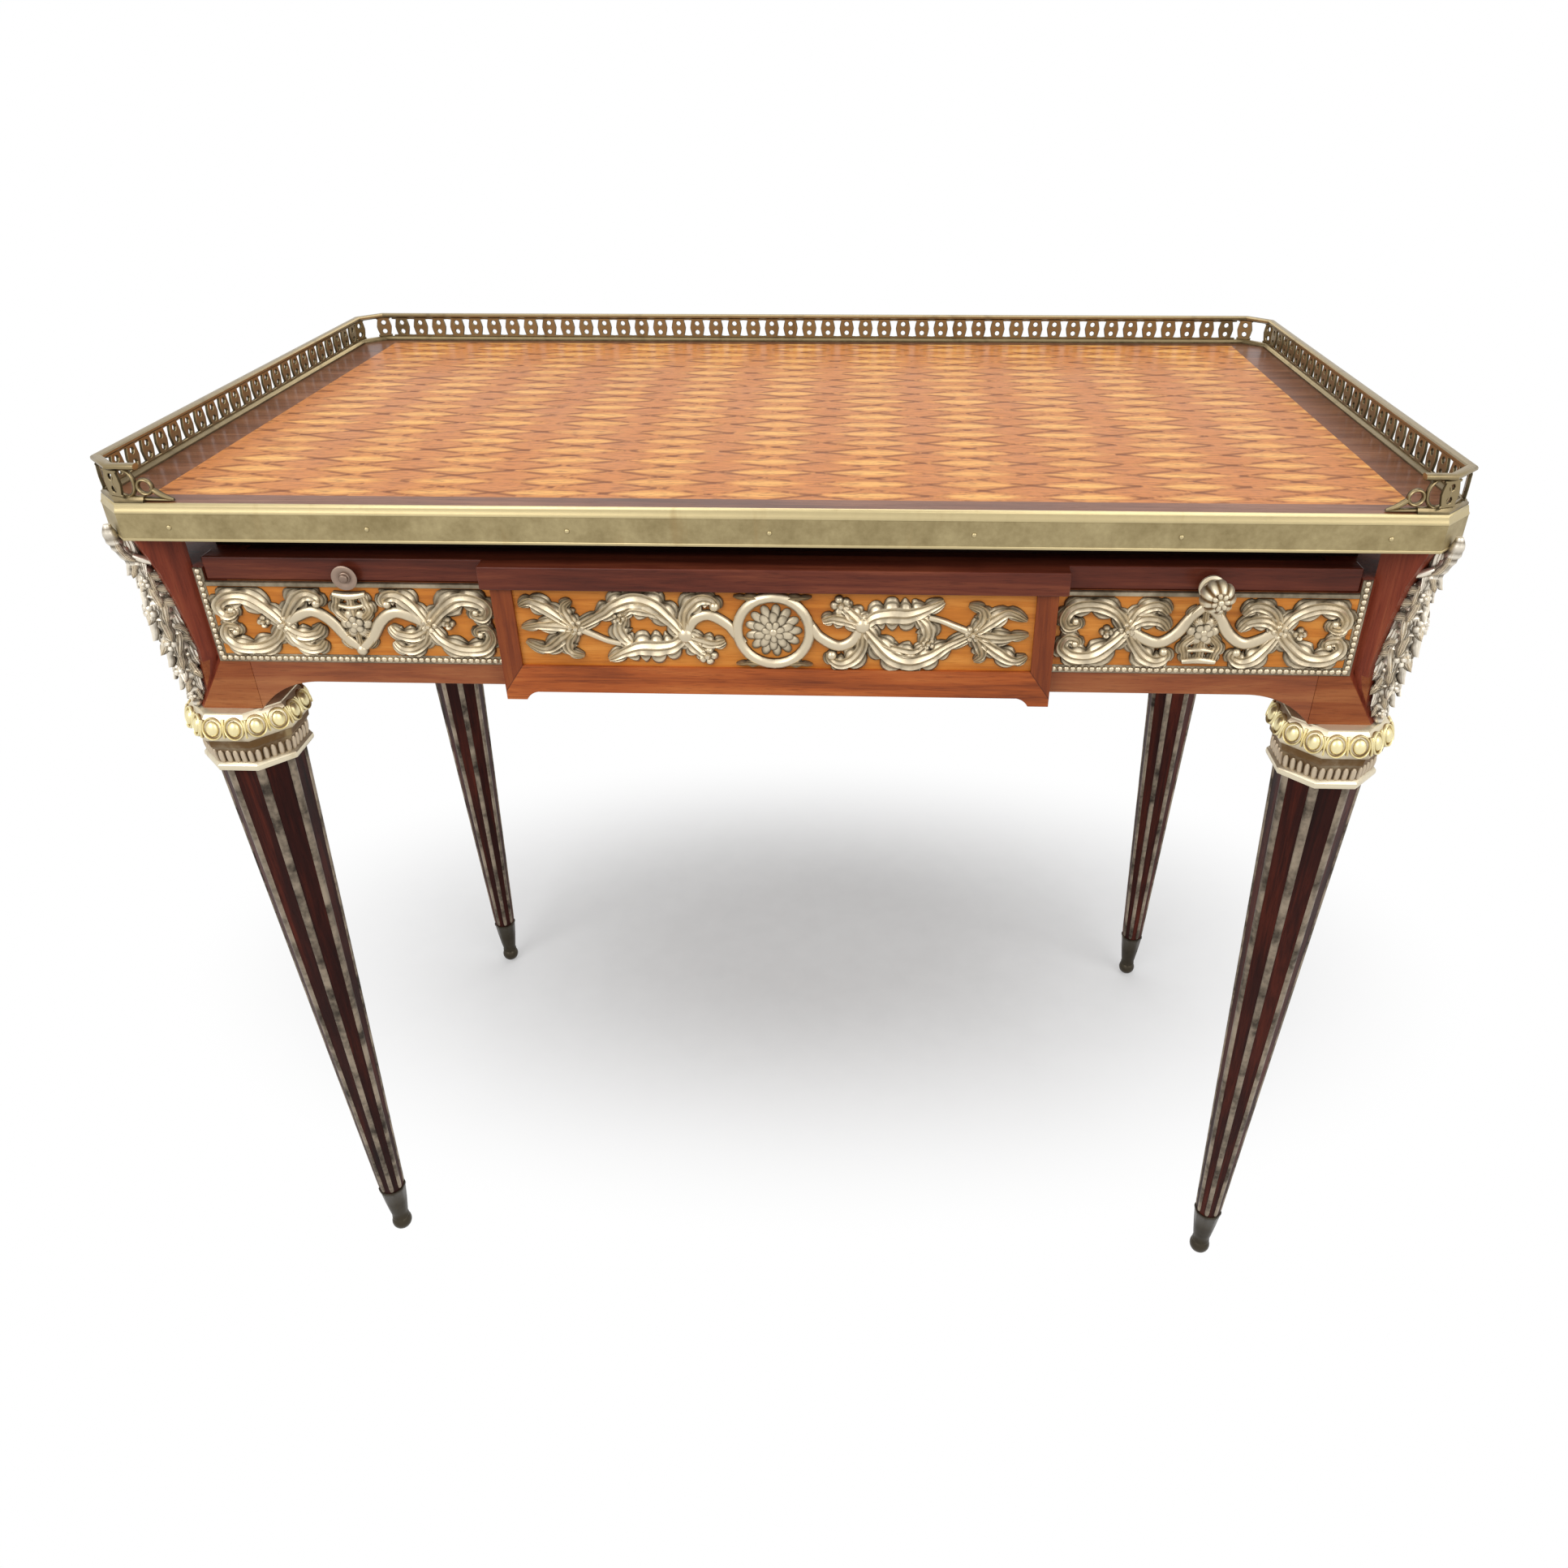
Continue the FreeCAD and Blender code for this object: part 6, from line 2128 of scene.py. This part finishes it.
@dataclass
class Woodwork:
    """Joinery: softened copies of the solids that show, and finishes on the rest."""

    arris: float = 0.7
    slide_arris: float = 1.2
    posts: Tuple[str, ...] = tuple("corner_post_" + name for name in CORNERS)
    rails: Tuple[str, ...] = ("front_rail_left", "front_rail_right", "back_rail")
    sides: Tuple[str, ...] = ("side_rail_left", "side_rail_right")
    necks: Tuple[str, ...] = ("neck_front_rail", "neck_back_rail", "neck_side_rails")
    inner: Tuple[str, ...] = (
        "partition_left", "partition_right", "drawer_runners", "slide_runners",
        "drawer_side_left", "drawer_side_right", "drawer_bottom", "drawer_back")

    def build(self) -> None:
        """Makes the softened pieces and dresses the others."""
        for nodes, finish in ((self.posts, Finishes.post), (self.rails, Finishes.frieze),
                              (self.sides, Finishes.side)):
            for node in nodes:
                piece = softened(node, node + "_wood", finish, self.arris)
                fit(piece, "carcass", "mahogany", node)
        drawer = softened("drawer_front", "drawer_front_wood", Finishes.drawer, self.arris)
        fit(drawer, "drawer", "mahogany", "drawer_front")
        slide = softened("slide_moulding", "slide_moulding_wood", Finishes.slide, self.slide_arris)
        fit(slide, "slide", "slide_mahogany", "slide_moulding")
        legs = [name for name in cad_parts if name.startswith("leg_") and "strips" not in name]
        dressed = [(self.necks, Finishes.neck_wood_and_shade), (self.inner, Finishes.inner), (legs, Finishes.leg),
                   (("frieze_panel_left", "frieze_panel_right", "drawer_panel"), Finishes.satin),
                   (("parquetry_field",), Finishes.parquetry),
                   (("crossband_border",), Finishes.crossband),
                   (("top_board",), Finishes.board), (("slide_board",), Finishes.slide),
                   (("slide_leather",), Finishes.leather)]
        for nodes, finish in dressed:
            for node in nodes:
                self.dress(node, finish)

    @staticmethod
    def dress(node: str, finish: Finish) -> None:
        """Gives a CAD node that shows its finish.

        Args:
            node: The node.
            finish: The finish.
        """
        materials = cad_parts[node].data.materials
        materials.clear()
        materials.append(finish.material())
        LOG.info("%s keeps its solid, in %s", node, finish.name)


@dataclass
class Studio:
    """Floor, soft lights, plain surroundings and the camera."""

    camera_place: Tuple[float, float, float] = (0.0660, -0.9417, 1.00843)
    pitch: float = 0.54773
    yaw: float = 0.03982
    roll: float = -0.00465
    focal_pixels: float = 1446.45
    centre_pixel: Tuple[float, float] = (1023.94, 932.23)
    picture: float = 1932.0
    sensor: float = 36.0
    aim: float = 0.6
    ambient: float = 0.44
    floor_half: float = 7.0
    floor_front: float = -6.0
    floor_bend: float = 3.0
    bend_radius: float = 1.5
    wall_top: float = 6.0
    lamps: Tuple[Tuple[Tuple[float, float, float], float, float], ...] = (
        ((-1.3, -1.7, 2.3), 1.8, 34.0), ((1.7, -1.3, 2.1), 1.8, 26.0),
        ((0.1, 1.2, 2.6), 2.0, 22.0))

    def build(self) -> None:
        """Makes the whole setting."""
        self.floor()
        self.surroundings()
        for number, (place, size, power) in enumerate(self.lamps):
            self.lamp(number, Vector(place), size, power)
        self.camera()
        bpy.context.scene.view_settings.view_transform = "Standard"

    def floor(self) -> None:
        """Wide pale floor that curves up behind the table."""
        rows = [(self.floor_front, 0.0), (self.floor_bend, 0.0)]
        for k in range(1, 9):
            angle = k * math.pi / 16
            rows.append((self.floor_bend + self.bend_radius * math.sin(angle),
                         self.bend_radius * (1.0 - math.cos(angle))))
        rows.append((self.floor_bend + self.bend_radius, self.wall_top))
        points = [(x, y, z) for y, z in rows for x in (-self.floor_half, self.floor_half)]
        faces = [(2 * k, 2 * k + 1, 2 * k + 3, 2 * k + 2) for k in range(len(rows) - 1)]
        mesh = bpy.data.meshes.new("floor")
        mesh.from_pydata(points, [], faces)
        stand("floor", mesh, Finishes.floor, 60.0)

    def surroundings(self) -> None:
        """Even pale light from all round, white where the camera or a polished face sees it."""
        world = bpy.data.worlds.new("surroundings")
        bpy.context.scene.world = world
        graph = Graph(world)
        strength = graph.node("ShaderNodeMapRange", None,
                              {"Value": graph.seen(), "To Min": self.ambient, "To Max": 1.0})
        shade = graph.node("ShaderNodeBackground", None, {"Color": WHITE, "Strength": strength})
        graph.node("ShaderNodeOutputWorld", None, {"Surface": shade}, None)

    def lamp(self, number: int, place: Vector, size: float, power: float) -> None:
        """One large soft lamp that faces the table.

        Args:
            number: Its number.
            place: Where it hangs.
            size: Its width, metres.
            power: Its power, watts.
        """
        light = bpy.data.lights.new("soft_lamp_%d" % number, "AREA")
        light.energy = power
        light.size = size
        made = show(light.name, light)
        made.location = place
        made.rotation_euler = (Z_AXIS * self.aim - place).to_track_quat("-Z", "Y").to_euler()

    def camera(self) -> None:
        """Camera at the picture's angle."""
        right = Vector((math.cos(self.yaw), math.sin(self.yaw), 0.0))
        level = Vector((-math.sin(self.yaw), math.cos(self.yaw), 0.0))
        up = level * math.sin(self.pitch) + Z_AXIS * math.cos(self.pitch)
        forward = level * math.cos(self.pitch) - Z_AXIS * math.sin(self.pitch)
        turned_right = right * math.cos(self.roll) + up * math.sin(self.roll)
        turned_up = up * math.cos(self.roll) - right * math.sin(self.roll)
        lens = bpy.data.cameras.new("camera")
        lens.sensor_width = self.sensor
        lens.lens = self.sensor * self.focal_pixels / self.picture
        lens.shift_x = 0.5 - self.centre_pixel[0] / self.picture
        lens.shift_y = self.centre_pixel[1] / self.picture - 0.5
        made = show("camera", lens)
        turn = Matrix((turned_right, turned_up, -forward)).transposed().to_4x4()
        made.matrix_world = Matrix.Translation(Vector(self.camera_place) + MIDDLE) @ turn
        bpy.context.scene.camera = made


def main() -> None:
    """Builds every sub-assembly in order."""
    logging.basicConfig(level=logging.INFO, format="%(name)s: %(message)s")
    trees = Trees()
    Studio().build()
    Woodwork().build()
    TopBand().build(trees)
    Gallery().build(trees)
    CornerPendant().build()
    Capital().build(trees)
    Legs().build()
    FriezeMounts().build()
    BeadBorders().build(trees)
    SlideKnobs().build()


if __name__ == "__main__":
    main()
